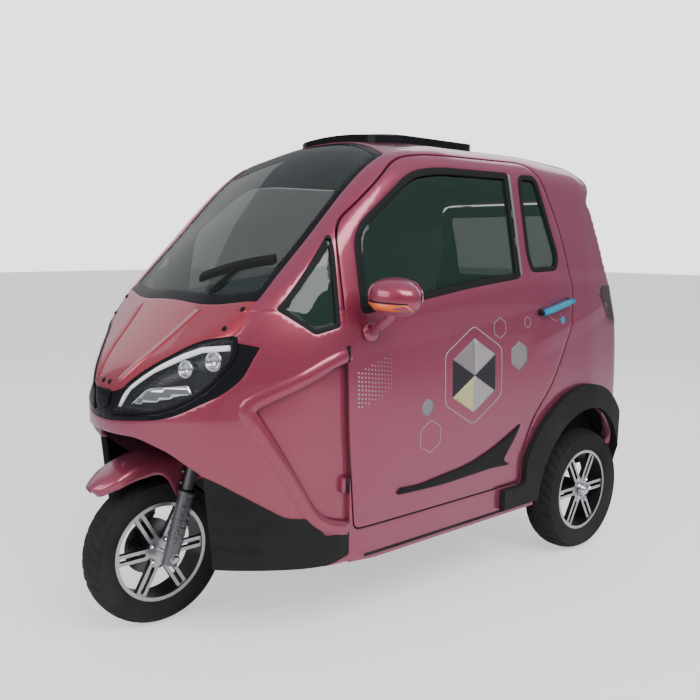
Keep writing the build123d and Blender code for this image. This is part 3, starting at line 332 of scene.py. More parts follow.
def orient(made, middle=None, merge=0.0, seam=0.0):  # weld, then turn the faces away from a middle
    work = bmesh.new()
    work.from_mesh(made.data)
    welded = [v for v in work.verts if not seam or abs(v.co.y) < seam]
    if seam:
        for vertex in welded:
            vertex.co.y = 0
    if merge:
        bmesh.ops.remove_doubles(work, verts=welded, dist=merge)
    bmesh.ops.recalc_face_normals(work, faces=work.faces)
    if middle is not None and sum(face.normal.dot(face.calc_center_median() - Vector(middle))
                                  * face.calc_area() for face in work.faces) < 0:
        bmesh.ops.reverse_faces(work, faces=work.faces)
    work.to_mesh(made.data)
    work.free()


def softenEdges(made, width=0.002, segments=2, angle=35):
    bevel = made.modifiers.new("softEdges", "BEVEL")
    bevel.width = width
    bevel.segments = segments
    bevel.limit_method = "ANGLE"
    bevel.angle_limit = math.radians(angle)
    bevel.harden_normals = False
    return made


def thicken(made, thickness):
    solid = made.modifiers.new("wall", "SOLIDIFY")
    solid.thickness = thickness
    solid.offset = -1.0
    solid.use_even_offset = False


def tube(name, points, radius, material, body, sides=10, closed=False, flat=1.0):
    points = [Vector(p) for p in points]
    count = len(points)
    vertices = []
    normal = None
    for index, point in enumerate(points):
        if closed:
            way = (points[(index + 1) % count] - points[index - 1]).normalized()
        else:
            way = (points[min(index + 1, count - 1)] - points[max(index - 1, 0)]).normalized()
        if normal is None:
            normal = way.cross(Vector((0, 0, 1) if abs(way.z) < 0.9 else (1, 0, 0))).normalized()
        normal = (normal - way * normal.dot(way)).normalized()
        side = way.cross(normal)
        for step in range(sides):
            angle = 2 * math.pi * step / sides
            vertices.append(point + (normal * math.cos(angle) + side * math.sin(angle) * flat) * radius)
    faces = gridFaces(count, sides, closed, True)
    if not closed:
        faces.append(tuple(range(sides))[::-1])
        faces.append(tuple(range((count - 1) * sides, count * sides)))
    return makeObject(name, vertices, faces, material, body)


def lathe(name, profile, place, axis, material, body, segments=48, closed=False, smooth=True):
    axis, place = Vector(axis).normalized(), Vector(place)
    turn = Vector((0, 0, 1)).rotation_difference(axis)
    vertices = []
    for step in range(segments):
        angle = 2 * math.pi * step / segments
        for radius, along in profile:
            vertices.append(place + turn @ Vector(
                (radius * math.cos(angle), radius * math.sin(angle), along)))
    made = makeObject(name, vertices, gridFaces(segments, len(profile), True, closed), material, body,
                      smooth)
    orient(made, merge=weldGap)
    return made


def box(name, low, high, material, body, bevel):
    low, high = Vector(low), Vector(high)
    vertices = [(x, y, z) for x in (low.x, high.x) for y in (low.y, high.y) for z in (low.z, high.z)]
    faces = [(0, 1, 3, 2), (4, 6, 7, 5), (0, 4, 5, 1), (2, 3, 7, 6), (0, 2, 6, 4), (1, 5, 7, 3)]
    return softenEdges(makeObject(name, vertices, faces, material, body), bevel, 3, 30)


# the cabin's form: an implicit surface from stations
# each row: along, sill half width, belt half width, belt height, rail half width, rail height, crown
stationShares = (
    (-1.000, 0.840, 0.880, 0.509, 0.719, 0.882, 0.919),
    (-0.721, 0.941, 0.963, 0.551, 0.764, 0.936, 0.967),
    (-0.450, 0.968, 0.998, 0.570, 0.803, 0.947, 0.980),
    (0.000, 0.968, 1.000, 0.570, 0.813, 0.947, 0.984),
    (0.130, 0.968, 1.000, 0.570, 0.812, 0.938, 0.975),
    (0.217, 0.968, 0.998, 0.570, 0.810, 0.922, 0.957),
    (0.288, 0.968, 0.995, 0.569, 0.813, 0.892, 0.926),
    (0.363, 0.968, 0.991, 0.569, 0.817, 0.847, 0.882),
    (0.505, 0.950, 0.968, 0.565, 0.813, 0.745, 0.794),
    (0.586, 0.904, 0.922, 0.558, 0.780, 0.697, 0.736),
    (0.669, 0.826, 0.845, 0.545, 0.725, 0.647, 0.674),
    (0.775, 0.710, 0.725, 0.509, 0.675, 0.576, 0.599),
    (0.946, 0.657, 0.667, 0.417, 0.604, 0.469, 0.490),
)
tailShares = (  # up, along
    (0.120, -0.940), (0.240, -1.000), (0.343, -1.000), (0.430, -0.968), (0.539, -0.957),
    (0.650, -0.910), (0.748, -0.865), (0.836, -0.815), (0.857, -0.786), (0.882, -0.815),
    (0.948, -0.867), (1.060, -0.900),
)
form = {
    "crownShare": 0.72, "beltRound": 0.44, "railRound": 0.16, "crownRound": 0.55,
    "noseRound": 0.050, "tailRound": 0.035, "leanUp": 0.14, "leanFrom": 0.72, "tuck": 0.10,
    "tuckFrom": 0.60, "beltCrease": 0.007, "lowCrease": 0.005,
    "beltLine": ((-1.0, -0.884, -0.356, 0.46, 0.60), (1.075, 1.080, 1.086, 0.988, 0.965)),
    "lowLine": ((-1.0, -0.884, -0.430, -0.30), (1.02, 0.988, 0.882, 0.84)),
    # planes seen from above: a point, the way out and its length, then how round the join is
    "noseCap": (1.040, 0, 1, 0, 1), "noseSlope": (1.040, 0.0997, 0.2003, 0.1043, 0.2258),
    "noseCorner": (0.936, 0.300, 0.3001, 0.3119, 0.4328), "slopeRound": 0.045, "cornerRound": 0.040,
    "rearFlank": (-0.821, 0.6306, -0.1239, 0.2387, 0.2689),
    "rearCorner": (-1.060, 0.507, -0.1667, 0.0500, 0.1740), "flankRound": 0.04, "rearRound": 0.03,
}
stationTable = np.array(stationShares)
denseX = np.linspace(-1.30, 1.20, 501)
scale = np.array([halfWidth, halfWidth, height, halfWidth, height, height])
denseRows = []
for column in range(6):
    raw = np.interp(denseX, stationTable[:, 0] * halfLength, stationTable[:, column + 1] * scale[column])
    kernel = np.exp(-0.5 * (np.arange(-14, 15) * 0.005 / 0.022) ** 2)
    padded = np.pad(raw, 14, mode="edge")
    denseRows.append(np.convolve(padded, kernel / kernel.sum(), mode="valid"))
tailZ = np.array([row[0] for row in tailShares]) * height
tailX = np.array([row[1] for row in tailShares]) * halfLength


def smoothMax(a, b, k):
    h = np.maximum(k - np.abs(a - b), 0) / np.maximum(k, 1e-9)
    return np.maximum(a, b) + h * h * k / 4


def segmentSide(py, pz, ay, az, by, bz):
    length = np.hypot(by - ay, bz - az)
    return ((py - ay) * (bz - az) - (pz - az) * (by - ay)) / length, length


def planeSide(x, y, plane):  # how far a place lies outside a plane seen from above
    placeX, placeY, wayX, wayY, length = plane
    return ((x - placeX) * wayX + (y - placeY) * wayY) / length


def tent(distance, above, below):  # a crest that fades upward and downward
    return np.clip(np.minimum(1 - distance / above, 1 + distance / below), 0, 1)


def bodyDistance(points, creases=True):
    x, y, z = points[:, 0], np.abs(points[:, 1]), points[:, 2]
    ys, yb, zb, yr, zr, zc = (np.interp(x, denseX, row) for row in denseRows)
    zs = trike["underside"]
    za = zr + (zc - zr) / form["crownShare"]
    d1, l1 = segmentSide(y, z, ys, zs, yb, zb)
    d2, l2 = segmentSide(y, z, yb, zb, yr, zr)
    d3, l3 = segmentSide(y, z, yr, zr, 0 * ys, za)
    d4, _ = segmentSide(-y, z, yr, zr, 0 * ys, za)
    turn12 = np.abs(np.arctan2(zb - zs, yb - ys) - np.arctan2(zr - zb, yr - yb))
    turn23 = np.abs(np.arctan2(zr - zb, yr - yb) - np.arctan2(za - zr, -yr))
    turn33 = 2 * np.arctan2(za - zr, yr)
    side = smoothMax(d1, d2, form["beltRound"] * np.minimum(l1, l2) * np.sin(turn12))
    top = smoothMax(d3, d4, form["crownRound"] * l3 * np.sin(turn33))
    total = smoothMax(side, top, form["railRound"] * np.minimum(l2, l3) * np.sin(turn23) + 0.02)
    if creases:
        beltLine, lowLine = np.interp(x, *form["beltLine"]), np.interp(x, *form["lowLine"])
        fade = np.clip((0.56 - x) / 0.10, 0, 1) * np.clip((x + 1.02) / 0.12, 0, 1)
        lowFade = np.clip((-0.36 - x) / 0.15, 0, 1) * np.clip((x + 1.0) / 0.12, 0, 1)
        total = total - form["beltCrease"] * tent(z - beltLine, 0.05, 0.10) * fade
        total = total - form["lowCrease"] * tent(z - lowLine, 0.03, 0.07) * lowFade
    lean = form["leanUp"] * np.maximum(z - form["leanFrom"], 0) + form["tuck"] * np.maximum(
        form["tuckFrom"] - z, 0)
    leaning = x + lean
    nose = smoothMax(planeSide(leaning, y, form["noseCap"]), planeSide(leaning, y, form["noseSlope"]),
                     form["slopeRound"])
    nose = smoothMax(nose, planeSide(leaning, y, form["noseCorner"]), form["cornerRound"])
    total = smoothMax(total, nose, form["noseRound"])
    flank = smoothMax(planeSide(x, y, form["rearFlank"]), planeSide(x, y, form["rearCorner"]),
                      form["flankRound"])
    total = smoothMax(total, flank, form["rearRound"])
    tail = (np.interp(z, tailZ, tailX) - x) * 0.94
    total = smoothMax(total, tail, form["tailRound"])
    return total


# charts: a plane grid whose rays meet the form
class LineChart:
    def __init__(self, way):
        self.way = np.array(Vector(way).normalized())
        self.u = np.cross((0, 0, 1), self.way)
        if np.linalg.norm(self.u) < 0.1:
            self.u = np.array((1.0, 0.0, 0.0))
        self.u = self.u / np.linalg.norm(self.u)
        self.v = np.cross(self.way, self.u)

    def flatten(self, points):
        return np.stack([points @ self.u, points @ self.v], axis=1)

    def rays(self, flat):
        start = flat[:, :1] * self.u + flat[:, 1:] * self.v
        return start - self.way * 0.4, np.tile(self.way, (len(flat), 1)), 2.2


class BarrelChart:
    middleZ, unroll = 0.85, 0.55

    def flatten(self, points):
        turn = np.arctan2(points[:, 2] - self.middleZ, points[:, 1])
        return np.stack([points[:, 0], turn * self.unroll], axis=1)

    def rays(self, flat):
        turn = flat[:, 1] / self.unroll
        start = np.stack([flat[:, 0], 0 * turn, 0 * turn + self.middleZ], axis=1)
        return start, np.stack([0 * turn, np.cos(turn), np.sin(turn)], axis=1), 1.1


def meetForm(chart, flat, level=0.0, creases=True):
    start, way, reach = chart.rays(flat)
    steps = 56
    high = np.full(len(flat), reach)
    low = np.zeros(len(flat))
    found = np.zeros(len(flat), bool)
    outer = high.copy()
    for step in range(1, steps + 1):
        t = reach * (1 - step / steps)
        inside = bodyDistance(start + way * t, creases) < level
        fresh = inside & ~found
        low[fresh] = t
        high[fresh] = outer[fresh]
        found |= inside
        outer = np.where(found, outer, t)
    high = np.where(found, high, 0)
    for _ in range(18):
        middle = (low + high) / 2
        inside = bodyDistance(start + way * middle[:, None], creases) < level
        low = np.where(inside, middle, low)
        high = np.where(inside, high, middle)
    return start + way * low[:, None], found


def roundedLoop(points, shares, step=0.010):  # closed, with rounded corners, sampled evenly
    count = len(points)
    samples = []
    for index in range(count):
        before, here, after = (Vector(points[index - 1]), Vector(points[index]),
                               Vector(points[(index + 1) % count]))
        inLength, outLength = (here - before).length, (after - here).length
        reach = shares[index] * min(inLength, outLength)
        a = here + (before - here).normalized() * reach
        b = here + (after - here).normalized() * reach
        pieces = max(2, int((a - b).length / step) + 1)
        for piece in range(pieces + 1):
            t = piece / pieces
            samples.append(a * (1 - t) ** 2 + here * 2 * t * (1 - t) + b * t * t)
    loop = []
    for index in range(len(samples)):
        first, second = samples[index], samples[(index + 1) % len(samples)]
        pieces = max(1, int((second - first).length / step))
        for piece in range(pieces):
            loop.append(first.lerp(second, piece / pieces))
    clean = [p for i, p in enumerate(loop) if (p - loop[i - 1]).length > step * 0.15]
    return np.array([tuple(p) for p in clean])


def insetLoop(loop, inset):
    ahead = np.roll(loop, -1, 0) - loop
    behind = loop - np.roll(loop, 1, 0)
    way = ahead / np.linalg.norm(ahead, axis=1)[:, None] + behind / np.linalg.norm(behind, axis=1)[:, None]
    way = way / np.linalg.norm(way, axis=1)[:, None]
    x, y = loop[:, 0], loop[:, 1]
    area = np.sum(x * np.roll(y, -1) - np.roll(x, -1) * y)
    normal = np.stack([-way[:, 1], way[:, 0]], axis=1) * (1 if area > 0 else -1)
    return loop + normal * inset


def insideLoop(points, loop):
    inside = np.zeros(len(points), bool)
    x, y = points[:, 0], points[:, 1]
    x1, y1 = loop[-1]
    for x2, y2 in loop:
        cross = ((y1 > y) != (y2 > y)) & (x < (x2 - x1) * (y - y1) / (y2 - y1 + 1e-12) + x1)
        inside ^= cross
        x1, y1 = x2, y2
    return inside


views = {  # the plane an outline is drawn in, with the way it is thrown onto the form
    "side": ((0, 2), LineChart((0, 1, 0))), "front": ((1, 2), LineChart((1, 0, 0))),
    "top": ((0, 1), LineChart((0, 0, 1))), "rear": ((1, 2), LineChart((-1, 0, 0))),
}


def throwLoop(view, loop, level=0.0, creases=False):  # an outline, thrown onto the form
    axes, chart = views[view]
    points = np.zeros((len(loop), 3))
    points[:, axes] = loop
    return meetForm(chart, chart.flatten(points), level, creases)


def outline(shares, view):
    factors = {"side": (halfLength, height), "front": (halfWidth, height),
               "rear": (halfWidth, height), "top": (halfLength, halfWidth)}[view]
    points = [(row[0] * factors[0], row[1] * factors[1]) for row in shares]
    return roundedLoop(points, [row[2] for row in shares])


def mirrorShares(shares, across=-1, along=1):
    return tuple(shares) + tuple((row[0] * across, row[1] * along, row[2]) for row in shares[::-1])


outlines = {  # view, then rows of along or across, up or across, corner share
    "door": ("side", (
        (0.439, 0.218, 0.06), (0.472, 0.490, 0.45), (0.449, 0.785, 0.20), (0.200, 0.924, 0.45),
        (0.090, 0.936, 0.45), (-0.441, 0.939, 0.35), (-0.569, 0.766, 0.45), (-0.604, 0.588, 0.35),
        (-0.455, 0.429, 0.45), (-0.356, 0.362, 0.45), (-0.303, 0.270, 0.35), (-0.303, 0.218, 0.25))),
    "window": ("side", (
        (0.405, 0.624, 0.10), (0.395, 0.782, 0.25), (0.171, 0.896, 0.45), (0.054, 0.908, 0.45),
        (-0.281, 0.909, 0.05), (-0.290, 0.679, 0.08), (-0.054, 0.665, 0.45))),
    "rearQuarter": ("side", (
        (-0.332, 0.907, 0.35), (-0.432, 0.909, 0.35), (-0.521, 0.729, 0.35), (-0.505, 0.694, 0.45),
        (-0.356, 0.691, 0.35), (-0.335, 0.729, 0.45))),
    "frontQuarter": ("side", (
        (0.455, 0.775, 0.06), (0.632, 0.637, 0.06), (0.551, 0.592, 0.15), (0.477, 0.604, 0.10))),
    "scoop": ("side", (
        (0.494, 0.553, 0.04), (0.726, 0.466, 0.06), (0.571, 0.257, 0.10), (0.524, 0.224, 0.20),
        (0.300, 0.224, 0.10), (0.300, 0.553, 0.10))),
    "cladding": ("side", (
        (0.990, 0.375, 0.05), (0.815, 0.347, 0.30), (0.631, 0.260, 0.30), (0.566, 0.256, 0.30),
        (0.528, 0.2185, 0.20), (0.443, 0.2180, 0.10), (0.443, 0.1755, 0.10), (0.505, 0.164, 0.30),
        (0.577, 0.158, 0.30), (0.721, 0.142, 0.30), (0.789, 0.157, 0.30))),
    "tailLamp": ("side", (
        (-0.795, 0.631, 0.20), (-0.822, 0.652, 0.20), (-1.100, 0.652, 0.10), (-1.100, 0.560, 0.10),
        (-0.890, 0.549, 0.30))),
    "headlight": ("front", (
        (0.690, 0.593, 0.20), (0.503, 0.581, 0.40), (0.293, 0.531, 0.40), (0.177, 0.494, 0.30),
        (0.092, 0.439, 0.05), (0.444, 0.452, 0.45), (0.621, 0.498, 0.45), (0.700, 0.551, 0.40))),
    "trim": ("front", mirrorShares((
        (0.085, 0.480, 0.10), (0.300, 0.505, 0.20), (0.690, 0.580, 0.10), (0.770, 0.572, 0.10),
        (0.732, 0.518, 0.40), (0.668, 0.488, 0.40), (0.452, 0.440, 0.40), (0.080, 0.427, 0.20)))),
    "hood": ("front", mirrorShares(((0.692, 0.760, 0.05), (0.692, 0.595, 0.10), (0.120, 0.440, 0.20)))),
    "noseOpening": ("front", mirrorShares((
        (0.595, 0.020, 0.05), (0.595, 0.341, 0.10), (0.455, 0.381, 0.30), (0.284, 0.404, 0.30),
        (0.060, 0.4040, 0.20)))),
    "windscreen": ("top", mirrorShares((
        (0.712, 0.340, 0.45), (0.662, 0.696, 0.06), (0.204, 0.685, 0.06), (0.118, 0.300, 0.45)), 1, -1)),
    "hatch": ("rear", mirrorShares(((0.690, 0.862, 0.15), (0.760, 0.446, 0.15)))),
    "hatchGlass": ("rear", mirrorShares(((0.610, 0.842, 0.15), (0.660, 0.655, 0.15)))),
}
loops = {name: outline(rows, view) for name, (view, rows) in outlines.items()}
loopViews = {name: view for name, (view, rows) in outlines.items()}


def addLoop(name, source, inset):
    loops[name] = insetLoop(loops[source], inset)
    loopViews[name] = loopViews[source]


for newLoop, sourceLoop, amount in (
        ("doorEdge", "door", 0.006), ("windowGlass", "window", 0.022),
        ("rearQuarterGlass", "rearQuarter", 0.018), ("frontQuarterGlass", "frontQuarter", 0.014),
        ("windscreenGlass", "windscreen", 0.030), ("hatchEdge", "hatch", 0.006),
        ("hatchPane", "hatchGlass", 0.016), ("lampBezel", "headlight", 0.010)):
    addLoop(newLoop, sourceLoop, amount)
wheelAngles = np.linspace(0, 2 * np.pi, 120, endpoint=False)
archX, _, archZ = trike["rearAxle"]
loops["arch"] = np.stack([archX + trike["wheelArch"] * np.cos(wheelAngles),
                          archZ + trike["wheelArch"] * np.sin(wheelAngles)], 1)
loopViews["arch"] = "side"


def within(points, name):
    return insideLoop(points[:, views[loopViews[name]][0]], loops[name])


def panel(name, source, mask, material, body, level=0.0, wall=0.03, both=False, cad=()):
    faces = source["faces"][mask]  # the faces of a patch that a mask keeps, with a wall and soft edges
    used, inverse = np.unique(faces.ravel(), return_inverse=True)
    faces = inverse.reshape(-1, 3)
    places = source["space"][used]
    if level:
        places, _ = meetForm(source["chart"], source["flat"][used], level)
    for turn in (1,) if both else (1, -1):
        points = places * np.array((1, turn, 1))
        rows = faces if turn > 0 else faces[:, ::-1]
        if both:
            points = np.vstack([places, places * np.array((1, -1, 1))])
            rows = np.vstack([faces, faces[:, ::-1] + len(places)])
        piece = makeObject(sided(name, turn), points, rows, material, sided(body, turn))
        if both:
            orient(piece, cabinMiddle, panelSetting["weld"], panelSetting["seam"])
        else:
            orient(piece, cabinMiddle)
        thicken(piece, wall)
        softenEdges(piece, panelSetting["edge"], 2, 50)
        if cad and (turn > 0 or "left" in cad[0]):
            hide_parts(*(sided(node, turn) for node in cad))


print("form ready")


# the cabin's panels
panelSetting = {"grid": 0.014, "wall": 0.022, "rearCut": 0.030, "frontCut": 0.502, "frontCutTop": 1.035,
                "edge": 0.0015, "weld": 0.0012, "seam": 0.0006}
roofEdge = {"front": 0.340 * halfLength, "rear": -0.900 * halfLength, "side": 0.675 * halfWidth}


def denseLine(points, step=0.01):
    rows = []
    for a, b in zip(points[:-1], points[1:]):
        pieces = max(1, int(math.dist(a, b) / step))
        rows += [tuple(p + (q - p) * t / pieces for p, q in zip(a, b)) for t in range(pieces)]
    return np.array(rows + [tuple(points[-1])])


def addPlainLoop(name, view, points):
    loops[name] = denseLine(list(points) + [points[0]])[:-1]
    loopViews[name] = view


cutX, cutTop = panelSetting["frontCut"], panelSetting["frontCutTop"]
addPlainLoop("frontCut", "side", [(cutX, 0.20), (1.25, 0.20), (1.25, cutTop), (cutX, cutTop)])
rearLine = [(x + panelSetting["rearCut"], z) for z, x in zip(tailZ[:-1], tailX[:-1])]
addPlainLoop("rearCut", "side", [(-1.3, 0.19)] + rearLine + [(-0.93, 1.60), (-1.3, 1.60)])
addPlainLoop("roof", "top", [(roofEdge["front"], -roofEdge["side"]), (roofEdge["front"], roofEdge["side"]),
                             (roofEdge["rear"], roofEdge["side"]), (roofEdge["rear"], -roofEdge["side"])])


def fanPoints(start, ways, reach=1.3):  # where rays from inside leave the form for the last time
    start = np.tile(np.array(start, float), (len(ways), 1))
    ways = np.array(ways, float)
    low, high = np.zeros(len(ways)), np.full(len(ways), reach)
    for t in np.linspace(reach, 0, 90):
        inside = bodyDistance(start + ways * t, False) < 0
        low = np.where(inside & (low == 0), t, low)
    high = low + reach / 89
    for _ in range(16):
        middle = (low + high) / 2
        inside = bodyDistance(start + ways * middle[:, None], False) < 0
        low = np.where(inside, middle, low)
        high = np.where(inside, high, middle)
    return start + ways * low[:, None]


def hexGrid(low, high, spacing):
    xs = np.arange(low[0] + spacing / 2, high[0], spacing)
    ys = np.arange(low[1] + spacing / 2, high[1], spacing * 0.87)
    return np.array([(x + (row % 2) * spacing / 2, y) for row, y in enumerate(ys) for x in xs])


def buildPatch(chart, flatBorder, loopNames, spacing, leftOnly=True):
    points = [flatBorder]
    edges = [(i, (i + 1) % len(flatBorder)) for i in range(len(flatBorder))]
    total = len(flatBorder)
    for name in loopNames:
        landed, found = throwLoop(loopViews[name], loops[name])
        found = found & (landed[:, 1] > -0.015) if leftOnly else found
        flat = chart.flatten(landed)
        flat[~found] = flatBorder[0]
        count = len(flat)
        points.append(flat)
        for i in range(count):
            j = (i + 1) % count
            if found[i] and found[j] and 1e-6 < np.linalg.norm(flat[i] - flat[j]) < 0.05:
                edges.append((total + i, total + j))
        total += count
    fixed = np.vstack(points)
    grid = hexGrid(flatBorder.min(0), flatBorder.max(0), spacing)
    cells = {}
    for px, py in fixed:
        cells.setdefault((int(px // spacing), int(py // spacing)), []).append((px, py))
    keep = []
    for gx, gy in grid:
        cx, cy = int(gx // spacing), int(gy // spacing)
        keep.append(not any((px - gx) ** 2 + (py - gy) ** 2 < (spacing * 0.45) ** 2
                            for ax in (cx - 1, cx, cx + 1) for ay in (cy - 1, cy, cy + 1)
                            for px, py in cells.get((ax, ay), ())))
    grid = grid[np.array(keep)]
    grid = grid[insideLoop(grid, flatBorder)]
    everything = np.vstack([fixed, grid])
    result = delaunay_2d_cdt([Vector(p) for p in everything], edges, [], 0, 1e-5)
    flat = np.array([tuple(v) for v in result[0]])
    faces = np.array([f for f in result[2] if len(f) == 3])
    faces = faces[insideLoop(flat[faces].mean(1), flatBorder)]
    space, found = meetForm(chart, flat)
    faces = faces[found[faces].all(1)]
    middles = space[faces].mean(1)
    return {"chart": chart, "flat": flat, "faces": faces, "space": space,
            "mask": {name: within(middles, name) for name in loopNames}, "middles": middles}


# the side, roof and windscreen, unrolled round the middle of the cabin
barrel = BarrelChart()
lowTurn = math.atan2(trike["underside"] - barrel.middleZ, 0.535) * barrel.unroll
highTurn = math.pi / 2 * barrel.unroll
sideFrame = denseLine([(-1.12, highTurn), (-1.12, lowTurn), (0.815, lowTurn), (0.815, highTurn),
                       (-1.12, highTurn)], 0.012)[:-1]
side = buildPatch(barrel, sideFrame, [
    "door", "doorEdge", "window", "windowGlass", "rearQuarter", "rearQuarterGlass", "frontQuarter",
    "frontQuarterGlass", "windscreen", "windscreenGlass", "hood", "arch", "tailLamp", "rearCut",
    "frontCut", "roof"], panelSetting["grid"])
print("side patch:", len(side["faces"]), "faces")
w = side["mask"]
front = w["frontCut"] | (w["hood"] & (side["middles"][:, 0] > 0.6) & ~w["windscreen"])
w["roof"] &= ~w["windscreen"] & ~w["rearCut"] & (side["middles"][:, 2] > 1.42)
base = ~front & ~w["rearCut"]

# the nose, seen from above its left corner
noseChart = LineChart((0.62, 0.62, 0.48))
upFan = [(math.cos(a), 0, math.sin(a)) for a in np.radians(np.linspace(-42, 68, 90))]
across = denseLine([(0.700, highTurn), (0.700, 0.250), (0.490, 0.230), (0.490, lowTurn)], 0.012)
lowFan = [(math.cos(a), math.sin(a), 0) for a in np.radians(np.linspace(92, 0.5, 110))]
acrossPoints, _ = meetForm(barrel, across, 0.0, False)
noseFrame = np.vstack([fanPoints((0.55, 0, 0.62), upFan), acrossPoints,
                       fanPoints((0.50, 0, 0.264), lowFan)])
nose = buildPatch(noseChart, noseChart.flatten(noseFrame), [
    "frontCut", "windscreen", "hood", "trim", "headlight", "lampBezel", "noseOpening", "scoop",
    "cladding", "frontQuarter"], 0.012)
print("nose patch:", len(nose["faces"]), "faces")
n = nose["mask"]
lamps = n["headlight"] | n["trim"]
skin = (n["frontCut"] | n["hood"]) & ~n["windscreen"] & ~n["noseOpening"]

# the tail, seen from behind and a little above
tailChart = LineChart((-1, 0, 0.12))
tailFrame = tailChart.flatten(np.array([(-0.90, y, z) for y, z in denseLine(
    [(-0.0005, 0.262), (0.545, 0.262), (0.545, 1.60), (-0.0005, 1.60), (-0.0005, 0.262)], 0.012)[:-1]]))
tail = buildPatch(tailChart, tailFrame, [
    "rearCut", "hatch", "hatchEdge", "hatchGlass", "hatchPane", "tailLamp", "roof"], 0.014)
print("tail patch:", len(tail["faces"]), "faces")
r = tail["mask"]
r["arch"] = (np.hypot(tail["middles"][:, 0] - archX, tail["middles"][:, 2] - archZ) < trike[
    "wheelArch"]) & (tail["middles"][:, 1] > 0.38)
wall = panelSetting["wall"]
plainSkin = skin & ~lamps & ~n["cladding"]
panels = (  # name, patch, kept faces, material, body, level, wall, both sides in one, nodes replaced
    ("leftCabinSide", side, base & ~w["roof"] & ~w["door"] & ~w["windscreen"] & ~w["frontQuarter"]
     & ~w["arch"] & ~w["tailLamp"], "pearlPink", "body", 0.0, wall, False, ("cabin_shell", "sills")),
    ("roofSkin", side, w["roof"], "pearlPink", "body", 0.0, wall, True, ("roof_panel",)),
    ("leftDoorSkin", side, w["doorEdge"] & ~w["window"] & ~w["rearQuarter"], "pearlPink",
     "left_door_body", 0.0, wall, False, ("left_door",)),
    ("leftWindowSeal", side, w["window"] & ~w["windowGlass"], "rubberSeal", "left_door_body", 0.002,
     0.016),
    ("leftWindowPane", side, w["windowGlass"], "greenGlass", "left_door_body", -0.005, 0.004, False,
     ("left_door_glass",)),
    ("leftRearSeal", side, w["rearQuarter"] & ~w["rearQuarterGlass"], "rubberSeal", "left_door_body",
     0.002, 0.016),
    ("leftRearPane", side, w["rearQuarterGlass"], "greenGlass", "left_door_body", -0.005, 0.004),
    ("leftTriangleSeal", side, w["frontQuarter"] & ~w["frontQuarterGlass"], "rubberSeal", "body", 0.001,
     0.016),
    ("leftTrianglePane", side, w["frontQuarterGlass"], "greenGlass", "body", -0.004, 0.004, False,
     ("front_quarter_glass",)),
    ("windscreenPane", side, w["windscreenGlass"], "tintedGlass", "body", -0.004, 0.005, True,
     ("windscreen",)),
    ("windscreenBand", side, w["windscreen"] & ~w["windscreenGlass"], "glossBlack", "body", -0.0035,
     0.006, True),
    ("leftNoseSide", nose, plainSkin & ~n["hood"] & ~n["scoop"] & ~n["frontQuarter"], "pearlPink",
     "body", 0.0, wall, False, ("front_shell",)),
    ("hoodSkin", nose, n["hood"] & ~n["windscreen"] & ~lamps & ~n["noseOpening"], "rosePaint", "body",
     0.0, wall, True, ("hood",)),
    ("noseBand", nose, n["trim"] & ~n["headlight"] & ~n["noseOpening"], "glossBlack", "body", -0.003,
     wall, True, ("nose_trim",)),
    ("leftScoop", nose, plainSkin & n["scoop"], "pearlPink", "body", -0.018, 0.006, False,
     ("side_scoops",)),
    ("leftCladding", nose, skin & n["cladding"] & ~lamps, "texturedBlack", "body", 0.002, wall, False,
     ("front_claddings",)),
    ("leftLampLens", nose, n["lampBezel"] & ~n["noseOpening"], "clearLens", "body", 0.001, 0.003, False,
     ("headlights",)),
    ("leftLampBezel", nose, n["headlight"] & ~n["lampBezel"], "glossBlack", "body", 0.0015, 0.020),
    ("leftLampBowl", nose, n["headlight"], "lampBowl", "body", -0.050, 0.003),
    ("leftTailCorner", tail, r["rearCut"] & ~r["hatch"] & ~r["tailLamp"] & ~r["roof"] & ~r["arch"],
     "pearlPink", "body", 0.0, wall, False, ("rear_bumper",)),
    ("roofTail", tail, r["rearCut"] & r["roof"] & ~r["hatch"], "pearlPink", "body", 0.0, wall, True),
    ("hatchSkin", tail, r["hatchEdge"] & ~r["hatchGlass"], "pearlPink", "tailgate_body", 0.0, wall,
     True, ("tailgate",)),
    ("hatchSeal", tail, r["hatchGlass"] & ~r["hatchPane"], "rubberSeal", "tailgate_body", 0.001, 0.014,
     True),
    ("hatchPane", tail, r["hatchPane"], "tintedGlass", "tailgate_body", -0.004, 0.004, True,
     ("tailgate_glass",)),
    ("leftTailLens", tail, r["rearCut"] & r["tailLamp"] & ~r["hatch"], "smokedRed", "body", 0.002,
     0.020, False, ("tail_lamps",)),
    ("leftTailLensSide", side, base & w["tailLamp"], "smokedRed", "body", 0.002, 0.020),
)
for row in panels:
    panel(*row)
print("panels made")


# thin things laid on the form
sheetGrid, sheetWall = 0.014, 0.0006


def insideRings(points, rings):  # inside the first ring and outside the others
    inside = insideLoop(points, rings[0])
    for ring in rings[1:]:
        inside &= ~insideLoop(points, ring)
    return inside


